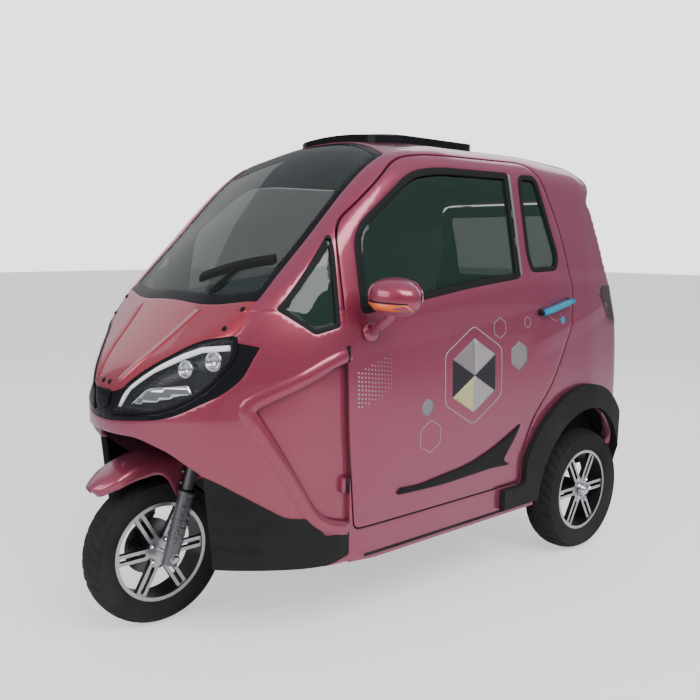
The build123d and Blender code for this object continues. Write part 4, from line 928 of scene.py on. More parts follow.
def sheet(name, view, loop, material, body, level, wall=sheetWall, holes=(), mirror=True, edge=0.0):
    rings = [loop] + list(holes)
    edges, total = [], 0
    for ring in rings:
        edges += [(total + i, total + (i + 1) % len(ring)) for i in range(len(ring))]
        total += len(ring)
    flat = np.vstack(rings)
    grid = hexGrid(loop.min(0), loop.max(0), sheetGrid)
    if len(grid):
        far = np.array([np.min(np.hypot(*(flat - g).T)) > sheetGrid * 0.4 for g in grid])
        flat = np.vstack([flat, grid[insideRings(grid, rings) & far]])
    result = delaunay_2d_cdt([Vector(p) for p in flat], edges, [], 0, 1e-6)
    flat = np.array([tuple(v) for v in result[0]])
    faces = np.array([f for f in result[2] if len(f) == 3])
    faces = faces[insideRings(flat[faces].mean(1), rings)]
    space, found = throwLoop(view, flat, level, True)
    faces = faces[found[faces].all(1)]
    used, inverse = np.unique(faces.ravel(), return_inverse=True)
    faces, space = inverse.reshape(-1, 3), space[used]
    for turn in (1, -1) if mirror else (1,):
        piece = makeObject(sided(name, turn), flipped(space, turn), faces[:, ::turn], material,
                           sided(body, turn))
        orient(piece, cabinMiddle)
        thicken(piece, wall)
        if edge:
            softenEdges(piece, edge, 2, 40)


def onForm(view, flatPoints, level=0.0):
    return throwLoop(view, np.array(flatPoints), level)[0]


def formNormal(point):
    steps = np.eye(3) * 0.004
    point = np.array(point, float)
    slope = np.array([bodyDistance((point + s)[None], False)[0] - bodyDistance((point - s)[None], False)[0]
                      for s in steps])
    return Vector(slope / np.linalg.norm(slope))


def hexagon(x, z, radius):
    points = [(x + radius * math.sin(i * math.pi / 3), z + radius * math.cos(i * math.pi / 3))
              for i in range(6)]
    return roundedLoop(points, [0.12] * 6, 0.012)


def sharpLoop(points):
    return denseLine(list(points) + [points[0]], 0.02)[:-1]


# door artwork: plain hexagons and a halftone patch
artwork = {
    "level": 0.0006, "step": 0.0001, "ring": (-0.052, 0.786, 0.172, 0.0040),
    "core": (-0.052, 0.786, 0.128),
    "facets": ("decalGrey", "decalDark", "decalBeige", "decalSilver", "decalDark", "decalSilver"),
    "filled": ((-0.299, 0.833, 0.054), (0.178, 0.704, 0.030)),
    "rings": ((-0.192, 0.940, 0.038, 0.0022), (-0.352, 0.951, 0.021, 0.0018),
              (0.160, 0.605, 0.056, 0.0026)),
    "dots": {"from": (0.474, 0.846), "step": 0.0130, "columns": 11, "rows": 9, "size": 0.0033,
             "rise": 0.35, "level": 0.0008},
}


def decal(name, loop, finish, lift=0, holes=()):
    sheet("leftArt" + name, "side", loop, finish, "left_door_body",
          artwork["level"] + artwork["step"] * lift, holes=holes)


def decalRing(name, x, z, size, line):
    decal(name, hexagon(x, z, size), "decalSilver", holes=[hexagon(x, z, size - line)])


decalRing("Ring", *artwork["ring"])
cx, cz, coreSize = artwork["core"]
for index, finish in enumerate(artwork["facets"]):
    a, b = index * math.pi / 3, (index + 1) * math.pi / 3
    decal("Facet%d" % index, sharpLoop([
        (cx, cz), (cx + coreSize * math.sin(a), cz + coreSize * math.cos(a)),
        (cx + coreSize * math.sin(b), cz + coreSize * math.cos(b))]), finish, index % 2)
for index, place in enumerate(artwork["filled"]):
    decal("Filled%d" % index, hexagon(*place), "decalGrey")
for index, place in enumerate(artwork["rings"]):
    decalRing("Line%d" % index, *place)


def halftone():
    dots = artwork["dots"]
    centres, sizes = [], []
    for column in range(dots["columns"]):
        for row in range(dots["rows"]):
            fade = 1 - column / dots["columns"]
            centres.append((dots["from"][0] - column * dots["step"],
                            dots["from"][1] - (row + 0.5 * (column % 2) - dots["rise"] * column)
                            * dots["step"]))
            sizes.append(dots["size"] * (0.35 + 0.65 * fade))
    space = onForm("side", centres, dots["level"])
    for turn, word in bothSides:
        vertices, faces = [], []
        for place, size in zip(space, sizes):
            normal = formNormal(place)
            across = normal.cross(Vector((0, 0, 1))).normalized()
            up = across.cross(normal)
            start = len(vertices)
            for lift in (0.0, -sheetWall):
                for step in range(8):
                    angle = math.pi / 4 * step
                    point = Vector(place) + normal * lift + (
                        across * math.cos(angle) + up * math.sin(angle)) * size
                    vertices.append((point.x, point.y * turn, point.z))
            top, bottom = list(range(start, start + 8)), list(range(start + 8, start + 16))
            faces += [top, bottom[::-1]]
            faces += [(top[i], bottom[i], bottom[(i + 1) % 8], top[(i + 1) % 8]) for i in range(8)]
        orient(makeObject(word + "ArtDots", vertices, faces, "decalSilver", word + "_door_body", False),
               merge=weldGap)


halftone()
blade = [(0.312, 0.437), (0.300, 0.456), (0.205, 0.452), (-0.041, 0.478), (-0.180, 0.519), (-0.316, 0.580),
         (-0.280, 0.527), (-0.222, 0.460), (-0.264, 0.438), (-0.153, 0.443), (0.107, 0.431)]
bladeRound = [0.45, 0.45, 0.3, 0.4, 0.4, 0.05, 0.3, 0.3, 0.3, 0.4, 0.4]
sheet("leftDoorBlade", "side", roundedLoop(blade, bladeRound, 0.012), "glossBlack", "left_door_body", 0.006,
      0.008, edge=0.002)
inlay = [(0.150, 0.452), (-0.050, 0.474), (-0.240, 0.538), (-0.222, 0.462), (-0.120, 0.455)]
sheet("leftDoorBladeInlay", "side", roundedLoop(inlay, [0.1, 0.4, 0.1, 0.2, 0.4], 0.012), "texturedBlack",
      "left_door_body", 0.0075, 0.004, edge=0.001)
print("artwork laid")

# chrome strip, and the raised lip round the recess behind each front lamp
sheet("leftWindowChrome", "side", sharpLoop([(-0.306, 1.478), (-0.318, 1.478), (-0.330, 1.125),
                                             (-0.318, 1.118)]), "chrome", "left_door_body", 0.0065, 0.005,
      edge=0.001)


def lineOnForm(name, view, points, radius, material, level, step=0.02, flat=1.0):
    space = onForm(view, denseLine(points, step), level)
    for turn, word in bothSides:
        tube(word + name, flipped(space, turn), radius, material, "body", 8, flat=flat)


def stripOnForm(name, rows, material, thickness):  # rows of points joined to a thin strip on each side
    for turn, word in bothSides:
        vertices = [p for row in rows for p in flipped(row, turn)]
        piece = makeObject(word + name, vertices, gridFaces(len(rows), len(rows[0])), material, "body")
        orient(piece, cabinMiddle)
        thicken(piece, thickness)


scoopLip = {"path": [(0.500, 0.905), (0.556, 0.893), (0.806, 0.762), (0.722, 0.600), (0.633, 0.425),
                     (0.590, 0.385), (0.508, 0.366)], "width": 0.016, "wall": 0.004,
            "shape": ((-1.5, -0.003), (-1.0, 0.003), (-0.4, 0.0055), (0.4, 0.0055), (1.0, 0.003),
                      (1.7, -0.003))}
scoopLine = denseLine(scoopLip["path"], 0.015)
for _ in range(6):
    scoopLine[1:-1] = (scoopLine[:-2] + 2 * scoopLine[1:-1] + scoopLine[2:]) / 4
scoopWay = np.gradient(scoopLine, axis=0)
scoopWay = scoopWay / np.linalg.norm(scoopWay, axis=1)[:, None]
scoopSide = np.stack([-scoopWay[:, 1], scoopWay[:, 0]], 1) * scoopLip["width"]
stripOnForm("ScoopLip", [onForm("side", scoopLine + scoopSide * offset, lift)
                         for offset, lift in scoopLip["shape"]], "pearlPink", scoopLip["wall"])
print("lips and strips made")

# front lamps
lampSetting = {"stripLevel": -0.014, "stripRadius": 0.0085, "spotLevel": -0.034, "aim": (1.0, 0.28, 0.10),
               "spots": ((0.322, 0.888, 0.031), (0.256, 0.862, 0.027)), "wedgeLevel": -0.022,
               "wedge": ((0.275, 0.818), (0.165, 0.802), (0.108, 0.748), (0.190, 0.758), (0.290, 0.790)),
               "top": ((0.366, 0.930), (0.300, 0.922), (0.250, 0.900), (0.170, 0.855), (0.105, 0.800),
                       (0.072, 0.745))}
lineOnForm("LampStrip", "front", lampSetting["top"], lampSetting["stripRadius"], "lampStrip",
           lampSetting["stripLevel"])
sheet("leftLampWedge", "front", roundedLoop(lampSetting["wedge"], [0.1, 0.2, 0.1, 0.3, 0.2], 0.01),
      "chrome", "body", lampSetting["wedgeLevel"], 0.003)
for index, (sy, sz, size) in enumerate(lampSetting["spots"]):
    centre = onForm("front", [(sy, sz)], lampSetting["spotLevel"])
    for turn, word in bothSides:
        place, way = flipped(centre, turn)[0], flipped([lampSetting["aim"]], turn)[0]
        label = "%sLampSpot%d" % (word, index)
        lathe(label, [(0.0, -0.020), (size * 0.9, -0.016), (size, 0.0), (size, 0.008), (size * 0.86, 0.010),
                      (size * 0.80, 0.0), (size * 0.6, -0.008), (0.0, -0.010)], place, way, "chrome",
              "body", 32)
        lathe(label + "Bulb", [(0.0, -0.008), (size * 0.62, -0.006), (size * 0.55, 0.004),
                               (size * 0.3, 0.010), (0.0, 0.0115)], place, way, "clearLens", "body", 24)
print("front lamps made")

# nose plate and hood screws
plate = [(0.046, 0.790), (0.040, 0.742), (0.0, 0.728), (-0.040, 0.742), (-0.046, 0.790)]
sheet("nosePlate", "front", roundedLoop(plate, [0.2] * 5, 0.008), "glossBlack", "body", 0.004, 0.006,
      mirror=False, edge=0.0015)
screwProfile = [(0.0, 0.004), (0.004, 0.0038), (0.0062, 0.002), (0.0085, 0.0012), (0.0085, -0.001),
                (0.0, -0.001)]
for index, spot in enumerate(((0.362, 1.040), (0.345, 0.985), (0.02, 0.81))):
    centre = onForm("front", [spot])
    normal = formNormal(centre[0])
    for turn, word in bothSides:
        lathe("%sHoodScrew%d" % (word, index), screwProfile, flipped(centre, turn)[0],
              flipped([normal], turn)[0], "texturedBlack", "body", 20)
print("nose details made")

# tyres with a cut tread
tyreSetting = {"front": {"radius": 0.240, "half": 0.054, "blocks": 34},
               "rear": {"radius": 0.245, "half": 0.062, "blocks": 36},
               "groove": 0.0042, "around": 288, "bead": 0.88, "lip": 0.165, "split": 42}


def makeTyre(name, place, setting, body, cad):
    radius, half, lip = setting["radius"], setting["half"], tyreSetting["lip"]
    tread = radius - lip
    ring = [(lip - 0.004, half * tyreSetting["bead"] * 0.92), (lip + 0.001, half * 0.90)]
    for t in np.linspace(0, 1, 7)[1:]:
        bulge = 0.90 + 0.10 * math.sin(math.pi * min(1, t * 1.05))
        ring.append((lip + tread * (0.04 + 0.70 * t), half * bulge))
    crown = []
    for t in np.linspace(0, 1, 17):
        across = math.cos(math.pi * t)
        crown.append((radius - (radius - (lip + tread * 0.78)) * abs(across) ** 2.6, half * 0.97 * across))
    profile = ring[:-1] + crown + [(r, -a) for r, a in ring[:-1][::-1]]
    vertices = []
    for step in range(tyreSetting["around"]):
        angle = 2 * math.pi * step / tyreSetting["around"]
        for index, (r, a) in enumerate(profile):
            share = abs(a / half)
            if len(ring) - 1 <= index < len(ring) - 1 + len(crown):
                phase = (angle / (2 * math.pi) * setting["blocks"] + share * 1.15) % 1
                if (0.20 < share < 0.97 and phase < 0.28) or 0.42 < share < 0.52:
                    r -= tyreSetting["groove"]
            vertices.append((place[0] + r * math.cos(angle), place[1] + a, place[2] + r * math.sin(angle)))
    made = makeObject(name, vertices, gridFaces(tyreSetting["around"], len(profile), True, True),
                      "tyreRubber", body)
    orient(made, merge=weldGap)
    made.data.shade_smooth()
    made.modifiers.new("treadEdges", "EDGE_SPLIT").split_angle = math.radians(tyreSetting["split"])
    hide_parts(cad)


makeTyre("frontTyreTread", trike["frontAxle"], tyreSetting["front"], "front_wheel", "front_tyre")
rearAxles = [(word, turn, flipped([trike["rearAxle"]], turn)[0]) for turn, word in bothSides]
for word, turn, place in rearAxles:
    makeTyre("rear%sTyreTread" % word.capitalize(), place, tyreSetting["rear"], "rear_%s_wheel" % word,
             "rear_%s_tyre" % word)
print("tyres made")

# wheel caps and nuts
wheelTrim = {"capRadius": 0.026, "nutRing": 0.043, "nutRadius": 0.0075, "nuts": 5, "ahead": 0.001}


def trimWheel(label, place, outward, setting, body, cap=True):
    way = Vector((0, outward, 0))
    face = Vector(place) + way * (setting["half"] * tyreSetting["bead"] + wheelTrim["ahead"])
    for index in range(wheelTrim["nuts"]):
        angle = 2 * math.pi * (index + 0.5) / wheelTrim["nuts"]
        spot = face + Vector((math.cos(angle), 0, math.sin(angle))) * wheelTrim["nutRing"]
        size = wheelTrim["nutRadius"]
        lathe("%sNut%d" % (label, index), [
            (0, 0.010), (size * 0.6, 0.0095), (size, 0.006), (size, 0.001), (size * 1.35, 0.0006),
            (size * 1.35, -0.002), (0, -0.002)], spot, way, "chrome", body, 6, smooth=False)
    if cap:
        size = wheelTrim["capRadius"]
        lathe(label + "Cap", [
            (0, 0.020), (size * 0.35, 0.0195), (size * 0.62, 0.017), (size * 0.70, 0.012),
            (size * 0.92, 0.010), (size, 0.006), (size, -0.004), (0, -0.004)], face, way, "chrome", body, 40)


trimWheel("frontLeft", trike["frontAxle"], 1, tyreSetting["front"], "front_wheel", False)
for word, turn, place in rearAxles:
    trimWheel("rear" + word.capitalize(), place, turn, tyreSetting["rear"], "rear_%s_wheel" % word)
print("wheel trim made")

# mirrors
mirrorSetting = {
    "inner": 0.588, "outer": 0.736, "rise": 0.058, "depth": 0.098, "along": 0.412, "up": 1.082,
    "droop": 0.010, "rings": 22, "sides": 40, "stripRows": 26, "stripWall": 0.004,
    "stalk": [(0.426, 0.546, 0.972), (0.424, 0.585, 0.985), (0.420, 0.622, 1.012), (0.417, 0.645, 1.045)],
    "foot": [(0.0, 0.012), (0.014, 0.0115), (0.024, 0.008), (0.030, 0.002), (0.031, -0.004),
             (0.0, -0.004)], "footPlace": (0.428, 0.551, 0.968),
    "strips": (("MirrorSplit", -0.0140, -0.0105, "glossBlack", 0.0012),
               ("MirrorLamp", -0.0360, -0.0170, "orangeLens", 0.0022)),
}


def mirrorSize(t):  # the housing's share of its full section, from its inner end to its outer one
    return math.sin(math.pi * min(1, 0.06 + 0.94 * t) ** 0.82) ** 0.42 if 0 < t < 1 else 0.0


def makeMirror(turn, word):
    m, body = mirrorSetting, word + "_door_body"
    vertices = []
    for ring in range(m["rings"] + 1):
        t = ring / m["rings"]
        y, size = m["inner"] + (m["outer"] - m["inner"]) * t, mirrorSize(t)
        for side in range(m["sides"]):
            angle = 2 * math.pi * side / m["sides"]
            c, s = math.cos(angle), math.sin(angle)
            x = m["depth"] * size * (1 - 0.25 * t) * abs(c) ** 0.9 * (1 if c > 0 else -0.42)
            z = m["rise"] * size * (1 if s > 0 else -1) * abs(s) ** 0.75 - m["droop"] * t
            vertices.append((m["along"] + x, y * turn, m["up"] + z))
    shell = makeObject(word + "MirrorShell", vertices, gridFaces(m["rings"] + 1, m["sides"], False, True),
                       "pearlPink", body)
    orient(shell, merge=weldGap)
    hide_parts(word + "_mirror_housing")
    for label, low, high, finish, lift in m["strips"]:
        vertices = []
        for row in range(m["stripRows"]):
            t = 0.10 + 0.82 * row / (m["stripRows"] - 1)
            y, size = m["inner"] + (m["outer"] - m["inner"]) * t, mirrorSize(t)
            for up in (low, high):
                s = min(0.98, abs(up) / (m["rise"] * size)) ** (1 / 0.75)
                x = m["depth"] * size * (1 - 0.25 * t) * math.sqrt(max(0.0, 1 - s * s)) ** 0.9
                vertices.append((m["along"] + x + lift, y * turn, m["up"] + up - m["droop"] * t))
        faces = [face[::-turn] for face in gridFaces(m["stripRows"], 2)]
        thicken(makeObject(word + label, vertices, faces, finish, body), m["stripWall"])
    arm = tube(word + "MirrorStalk", flipped(m["stalk"], turn), 0.016, "pearlPink", body, 16, flat=0.75)
    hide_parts(word + "_mirror_arm")
    lathe(word + "MirrorFoot", m["foot"], flipped([m["footPlace"]], turn)[0], (0, turn, 0.12),
          "pearlPink", body, 36)


for turn, word in bothSides:
    makeMirror(turn, word)
print("mirrors made")

# door handles with a lock
handleSetting = {
    "path": [(-0.432, 0.981), (-0.480, 0.990), (-0.530, 0.999), (-0.580, 1.008), (-0.622, 1.016)],
    "level": 0.017, "radius": 0.019, "flat": 0.6, "inward": 0.014,
    "foot": [(0, 0.016), (0.009, 0.014), (0.0115, 0.006), (0.013, -0.003), (0, -0.003)],
    "recess": (-0.528, 0.995, 0.047), "lockPlace": (-0.578, 0.945),
    "lock": [(0, 0.004), (0.008, 0.0042), (0.0095, 0.003), (0.0130, 0.0035), (0.0145, 0.001),
             (0.0145, -0.003), (0, -0.003)],
}
for turn, word in bothSides:
    h, body = handleSetting, word + "_door_body"
    space = flipped(onForm("side", h["path"], h["level"]), turn)
    grip = tube(word + "DoorPull", space, h["radius"], "handleFilm", body, 16, flat=h["flat"])
    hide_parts(word + "_door_handle")
    for index, (x, y, z) in enumerate((space[0], space[-1])):
        lathe("%sPullFoot%d" % (word, index), h["foot"], (x, y - h["inward"] * turn, z), (0, turn, 0),
              "glossBlack", body, 20)
    rx, rz, size = h["recess"]
    circle = [(rx + size * math.cos(math.pi * k / 18), rz + size * math.sin(math.pi * k / 18))
              for k in range(36)]
    tube(word + "PullRecess", flipped(onForm("side", circle, -0.0008), turn), 0.0032, "pearlPink", body, 8,
         True)
    lathe(word + "DoorLock", h["lock"], flipped(onForm("side", [h["lockPlace"]]), turn)[0],
          (0, turn, 0.1), "handleFilm", body, 28)
print("handles made")

# padded seats
seatSetting = {  # node, voxel size, where the sewn channels run
    "driverSeatPad": ("driver_cushion", 0.009, "cushion"),
    "driverBackPad": ("driver_backrest", 0.009, "back"),
    "rearSeatPad": ("rear_bench", 0.010, "cushion"),
    "rearBackPad": ("rear_backrest", 0.010, "back"),
}
clothSetting = {"pressure": 4.0, "frames": 20, "cap": 0.024, "channelDepth": 0.006, "channelWidth": 0.007,
                "shrink": 0.012, "overhang": 0.004, "fill": 0.6}


def finishedMesh(thing):
    depsgraph = bpy.context.evaluated_depsgraph_get()
    return bpy.data.meshes.new_from_object(thing.evaluated_get(depsgraph))


def corners(mesh):
    coords = np.empty(len(mesh.vertices) * 3)
    mesh.vertices.foreach_get("co", coords)
    return coords.reshape(-1, 3)


def padCushion(name, nodeName, voxel, channels):
    low, high = (np.array(corner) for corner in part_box(nodeName))
    middle, size = (low + high) / 2, high - low
    mesh = cadNodes[nodeName].data.copy()
    mesh.name = name
    shrunk = middle + (corners(mesh) - middle) * (1 - 2 * clothSetting["shrink"] / size)
    mesh.vertices.foreach_set("co", shrunk.ravel())
    pad = bpy.data.objects.new(name, mesh)
    bpy.context.scene.collection.objects.link(pad)
    remesh = pad.modifiers.new("evenFaces", "REMESH")
    remesh.mode = "VOXEL"
    remesh.voxel_size = voxel
    soften = pad.modifiers.new("roundCorners", "SMOOTH")
    soften.factor, soften.iterations = 0.5, 10
    pad.data = finishedMesh(pad)
    pad.modifiers.clear()
    start = corners(pad.data)
    cloth = pad.modifiers.new("stuffing", "CLOTH")
    cloth.settings.use_pressure = True
    cloth.settings.uniform_pressure_force = clothSetting["pressure"]
    cloth.settings.effector_weights.gravity = 0
    cloth.settings.quality = 5
    for step in range(1, clothSetting["frames"] + 1):
        bpy.context.scene.frame_set(step)
    move = corners(finishedMesh(pad)) - start
    length = np.maximum(np.linalg.norm(move, axis=1), 1e-9)
    move *= np.minimum(1, clothSetting["cap"] / length)[:, None]
    pad.modifiers.clear()
    bpy.context.scene.frame_set(1)
    start = start + move
    start = np.clip(start, low - clothSetting["overhang"], high + clothSetting["overhang"])
    across = [abs(start[:, 1] - middle[1] - s * size[1] * 0.27) for s in (-1, 1)]
    if channels == "cushion":  # sewn channels across and along the top
        groove = np.minimum.reduce(across + [abs(start[:, 0] - middle[0] + size[0] * 0.22)])
        top = np.clip((start[:, 2] - middle[2]) / (size[2] * 0.3), 0, 1)
        down = np.array((0.0, 0.0, -1.0))
    else:
        groove = np.minimum.reduce(across + [abs(start[:, 2] - middle[2] - size[2] * s)
                                             for s in (-0.2, 0.22)])
        down = np.array((-1.0, 0.0, 0.0))
        lineX = middle[0] + (start[:, 2] - middle[2]) * (-0.35)
        top = np.clip((start[:, 0] - lineX) / (size[0] * 0.12), 0, 1)
    cut = np.exp(-(groove / clothSetting["channelWidth"]) ** 2) * clothSetting["channelDepth"]
    start = start + down * (cut * top)[:, None]
    pad.data.vertices.foreach_set("co", start.ravel())
    pad.data.update()
    pad.data.materials.clear()
    pad.data.materials.append(materials["seatVinyl"])
    pad.data.shade_smooth()
    fine = pad.modifiers.new("fineFaces", "SUBSURF")
    fine.levels = fine.render_levels = 1
    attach(pad, "body")
    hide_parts(nodeName)


for padName, padSetting in seatSetting.items():
    padCushion(padName, *padSetting)
print("seats padded")

# hinges in the gap ahead of the doors, and at the top of the hatch
hinge = {"x": 0.509, "y": 0.542, "levels": (0.505, 0.906), "half": 0.024, "radius": 0.0055,
         "leafX": 0.530, "leafY": (0.520, 0.540), "leafHalf": 0.022, "hatch": (-0.883, 1.3986),
         "hatchY": (0.190, 0.240)}
for index, level in enumerate(hinge["levels"]):
    for turn, word in bothSides:
        x, y, half = hinge["x"], hinge["y"] * turn, hinge["half"]
        tube("%sHingePin%d" % (word, index), [(x, y, level - half), (x, y, level + half)], hinge["radius"],
             "glossBlack", "body", 16)
        near, far = sorted(edge * turn for edge in hinge["leafY"])
        box("%sHingeLeaf%d" % (word, index), (x, near, level - hinge["leafHalf"]),
            (hinge["leafX"], far, level + hinge["leafHalf"]), "pearlPink", "body", 0.002)
for turn, word in bothSides:
    x, z = hinge["hatch"]
    tube("%sHatchPin" % word, [(x, y * turn, z) for y in hinge["hatchY"]], hinge["radius"], "castSilver",
         "body", 14)

# sill lip
lineOnForm("SillLip", "side", [(0.440, 0.268), (-0.400, 0.268)], 0.0055, "texturedBlack", -0.001, 0.05)
print("hinges and lips made")

# front fork trim
axisUp = Vector(trike["steeringAxis"]).normalized()
axleFront = Vector(trike["frontAxle"])
forkTrim = {"legY": 0.102, "nutOut": 0.0262, "rings": ((0.200, 0.0285, 0.012), (0.070, 0.0275, 0.008),
                                                       (0.092, 0.0275, 0.008), (0.114, 0.0275, 0.008)),
            "nut": [(0, 0.012), (0.008, 0.0115), (0.013, 0.009), (0.013, 0.001), (0.017, 0.0005),
                    (0.017, -0.002), (0, -0.002)],
            "ribs": 5, "ribUp": 0.048, "ribStep": 0.026, "ribLength": 0.016, "ribRadius": 0.0042,
            "ribAhead": 0.013, "ribOut": 0.0225, "sealUp": 0.206,
            "seal": [(0.0172, 0.0), (0.024, 0.0), (0.0235, 0.007), (0.019, 0.012), (0.0172, 0.012)]}
forkFeet = [(turn, word, axleFront + Vector((0, forkTrim["legY"] * turn, 0))) for turn, word in bothSides]
for turn, word, foot in forkFeet:
    for index, (up, radius, thick) in enumerate(forkTrim["rings"]):
        lathe("%sForkRing%d" % (word, index), [
            (radius - 0.006, 0), (radius - 0.001, 0), (radius, 0.002), (radius, thick - 0.002),
            (radius - 0.001, thick), (radius - 0.006, thick)],
              foot + axisUp * up, axisUp, "castSilver", "steering", 32, True)
    lathe(word + "AxleNut", forkTrim["nut"], foot + Vector((0, forkTrim["nutOut"] * turn, 0)),
          (0, turn, 0), "brightSteel", "steering", 6, smooth=False)
print("fork trim made")

# front mudguard
guardSetting = {"radius": 0.3325, "halfWidth": 0.0745, "front": 47.0, "rear": 136.0, "leg": 104.0,
                "wall": 0.0035, "around": 72, "across": 26, "skirtFrom": 0.72, "crownDrop": 0.020,
                "bolts": (0.235, 0.272), "stayOut": 0.090,
                "bolt": [(0, 0.006), (0.004, 0.0055), (0.0062, 0.003), (0.0066, 0.0), (0, 0.0)]}


def guardDrop(angle):  # how far the side skirt hangs below the crown, metres
    g = guardSetting
    front = 0.016 + 0.026 * min(1.0, max(0.0, (angle - g["front"]) / 30.0))
    return front + 0.082 * math.exp(-((angle - g["leg"]) / 11.0) ** 2)


def makeMudguard():
    g = guardSetting
    vertices = []
    for i in range(g["around"] + 1):
        t = i / g["around"]
        angle = g["front"] + (g["rear"] - g["front"]) * t
        tip = min(1.0, 0.30 + 0.70 * math.sqrt(t / 0.14)) if t < 0.14 else 1.0
        way = math.radians(angle)
        for j in range(g["across"] + 1):
            s = -1 + 2 * j / g["across"]
            bend = abs(s) / g["skirtFrom"]
            across = g["halfWidth"] * tip
            if bend <= 1:  # the crown, with a soft ridge line each side
                across *= bend
                ridge = 0.0018 * math.exp(-((abs(s) - 0.42) / 0.05) ** 2)
                r = g["radius"] - g["crownDrop"] * bend ** 2.4 + ridge
            else:  # the skirt
                down = (abs(s) - g["skirtFrom"]) / (1 - g["skirtFrom"])
                across *= 1 + 0.02 * math.sin(math.pi * down)
                r = g["radius"] - g["crownDrop"] - guardDrop(angle) * down
            vertices.append((axleFront.x + r * math.cos(way), across * (1 if s > 0 else -1),
                             axleFront.z + r * math.sin(way)))
    guard = makeObject("frontMudguardShell", vertices, gridFaces(g["around"] + 1, g["across"] + 1),
                       "pearlPink", "steering")
    orient(guard, axleFront)
    thicken(guard, g["wall"])
    softenEdges(guard, 0.0012, 2, 50)
    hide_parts("front_mudguard")
    way = math.radians(g["leg"] - 1.0)
    for turn, word in bothSides:
        for index, reach in enumerate(g["bolts"]):
            x, z = axleFront.x + reach * math.cos(way), axleFront.z + reach * math.sin(way)
            spot = (x, (g["halfWidth"] + 0.0012) * turn, z)
            lathe("%sGuardBolt%d" % (word, index), g["bolt"], spot, (0, turn, 0), "glossBlack", "steering",
                  16)
            tube("%sGuardStay%d" % (word, index), [spot, (x, g["stayOut"] * turn, z)], 0.005, "castSilver",
                 "steering")


makeMudguard()
print("mudguard made")

# ribs and seal of each fork leg
ribWay = axisUp.cross(Vector((0, 1, 0))).normalized() * forkTrim["ribAhead"]
for turn, word, foot in forkFeet:
    for index in range(forkTrim["ribs"]):
        base = foot + axisUp * (forkTrim["ribUp"] + index * forkTrim["ribStep"]) + Vector(
            (0, forkTrim["ribOut"] * turn, 0))
        for side, label in ((1, "Front"), (-1, "Rear")):
            low = base + ribWay * side
            tube("%sForkRib%d%s" % (word, index, label), [low, low + axisUp * forkTrim["ribLength"]],
                 forkTrim["ribRadius"], "castSilver", "steering", 8)
    lathe(word + "ForkSeal", forkTrim["seal"], foot + axisUp * forkTrim["sealUp"], axisUp, "rubberSeal",
          "steering", 32, True)

# ridges on the hood
ridgePath = [(0.075, 0.815), (0.105, 0.860), (0.135, 0.910), (0.158, 0.960), (0.175, 1.000),
             (0.188, 1.030)]
ridgeShape = ((-0.030, -0.0006), (-0.012, 0.0022), (-0.003, 0.0048), (0.002, 0.0048), (0.006, 0.0008),
              (0.010, -0.0006))
ridgeLine = denseLine([tuple(p) for p in onForm("front", ridgePath)], 0.012)[:, 1:]
stripOnForm("HoodRidge", [onForm("front", ridgeLine + np.array((offset, 0)), lift)
                          for offset, lift in ridgeShape], "rosePaint", 0.003)
print("fork and hood trim made")

# black seals in the shut lines, and ridges on the cladding
doorLine = onForm("side", loops["door"], -0.004)
for turn, word in bothSides:
    tube(word + "DoorSeal", flipped(doorLine, turn), 0.0021, "rubberSeal", "body", 6, True)
for index, claddingRidge in enumerate(([(0.868, 0.462), (0.810, 0.458)], [(0.864, 0.393), (0.765, 0.386)],
                                       [(0.862, 0.338), (0.750, 0.322)])):
    lineOnForm("CladdingRidge%d" % index, "side", claddingRidge, 0.0045, "texturedBlack", 0.0010, flat=0.5)
print("seals and ridges made")

# materials on the CAD nodes
finishes = {
    "pearlPink": "cabin_shell front_shell roof_panel side_scoops sills tailgate left_door right_door "
                 "front_mudguard left_mirror_housing right_mirror_housing left_mirror_arm "
                 "right_mirror_arm rear_bumper",
    "rosePaint": "hood", "tintedGlass": "windscreen front_quarter_glass tailgate_glass",
    "greenGlass": "left_door_glass right_door_glass",
    "mirrorGlass": "left_mirror_glass right_mirror_glass", "clearLens": "headlights",
    "smokedRed": "tail_lamps", "glossBlack": "nose_trim sunroof",
    "texturedBlack": "wiper front_claddings arch_claddings floor_pan rear_floor rear_wheel_houses "
                     "front_wheel_house",
    "greyPlastic": "dashboard seat_box bench_box", "batteryCase": "battery_block",
    "seatVinyl": "driver_cushion driver_backrest rear_bench rear_backrest",
    "frameEnamel": "chassis_frame rear_axle leaf_springs handlebar", "castSilver": "fork",
    "brightSteel": "front_axle", "redEnamel": "brake_caliper", "gripRubber": "hand_grips",
    "discSteel": "brake_disc", "tyreRubber": "front_tyre rear_left_tyre rear_right_tyre",
    "rimFaces": "front_rim rear_left_rim rear_right_rim",
    "handleFilm": "left_door_handle right_door_handle",
}


def makeRimFaces():  # bright machined faces, black pockets between them
    material, tree, shader = newMaterial("rimFaces", rough=0.3, metal=0.0)
    place = addNode(tree, "ShaderNodeTexCoord")
    split = addNode(tree, "ShaderNodeSeparateXYZ")
    tree.links.new(place.outputs["Normal"], split.inputs[0])
    outward = mathNode(tree, "ABSOLUTE", split.outputs[1])
    mask = mathNode(tree, "GREATER_THAN", outward, 0.93)
    grain = placeGroup(tree, grainGroup, Scale=220.0, Depth=1.0)
    silver = mixColour(tree, mathNode(tree, "MULTIPLY", grain.outputs["Shade"], 0.3),
                       rgb(0.66, 0.66, 0.67), rgb(0.50, 0.50, 0.51))
    tree.links.new(mixColour(tree, mask, rgb(0.02, 0.02, 0.022), silver), shader.inputs["Base Color"])
    tree.links.new(mathNode(tree, "MULTIPLY", mask, 0.85), shader.inputs["Metallic"])
    materials["rimFaces"] = material


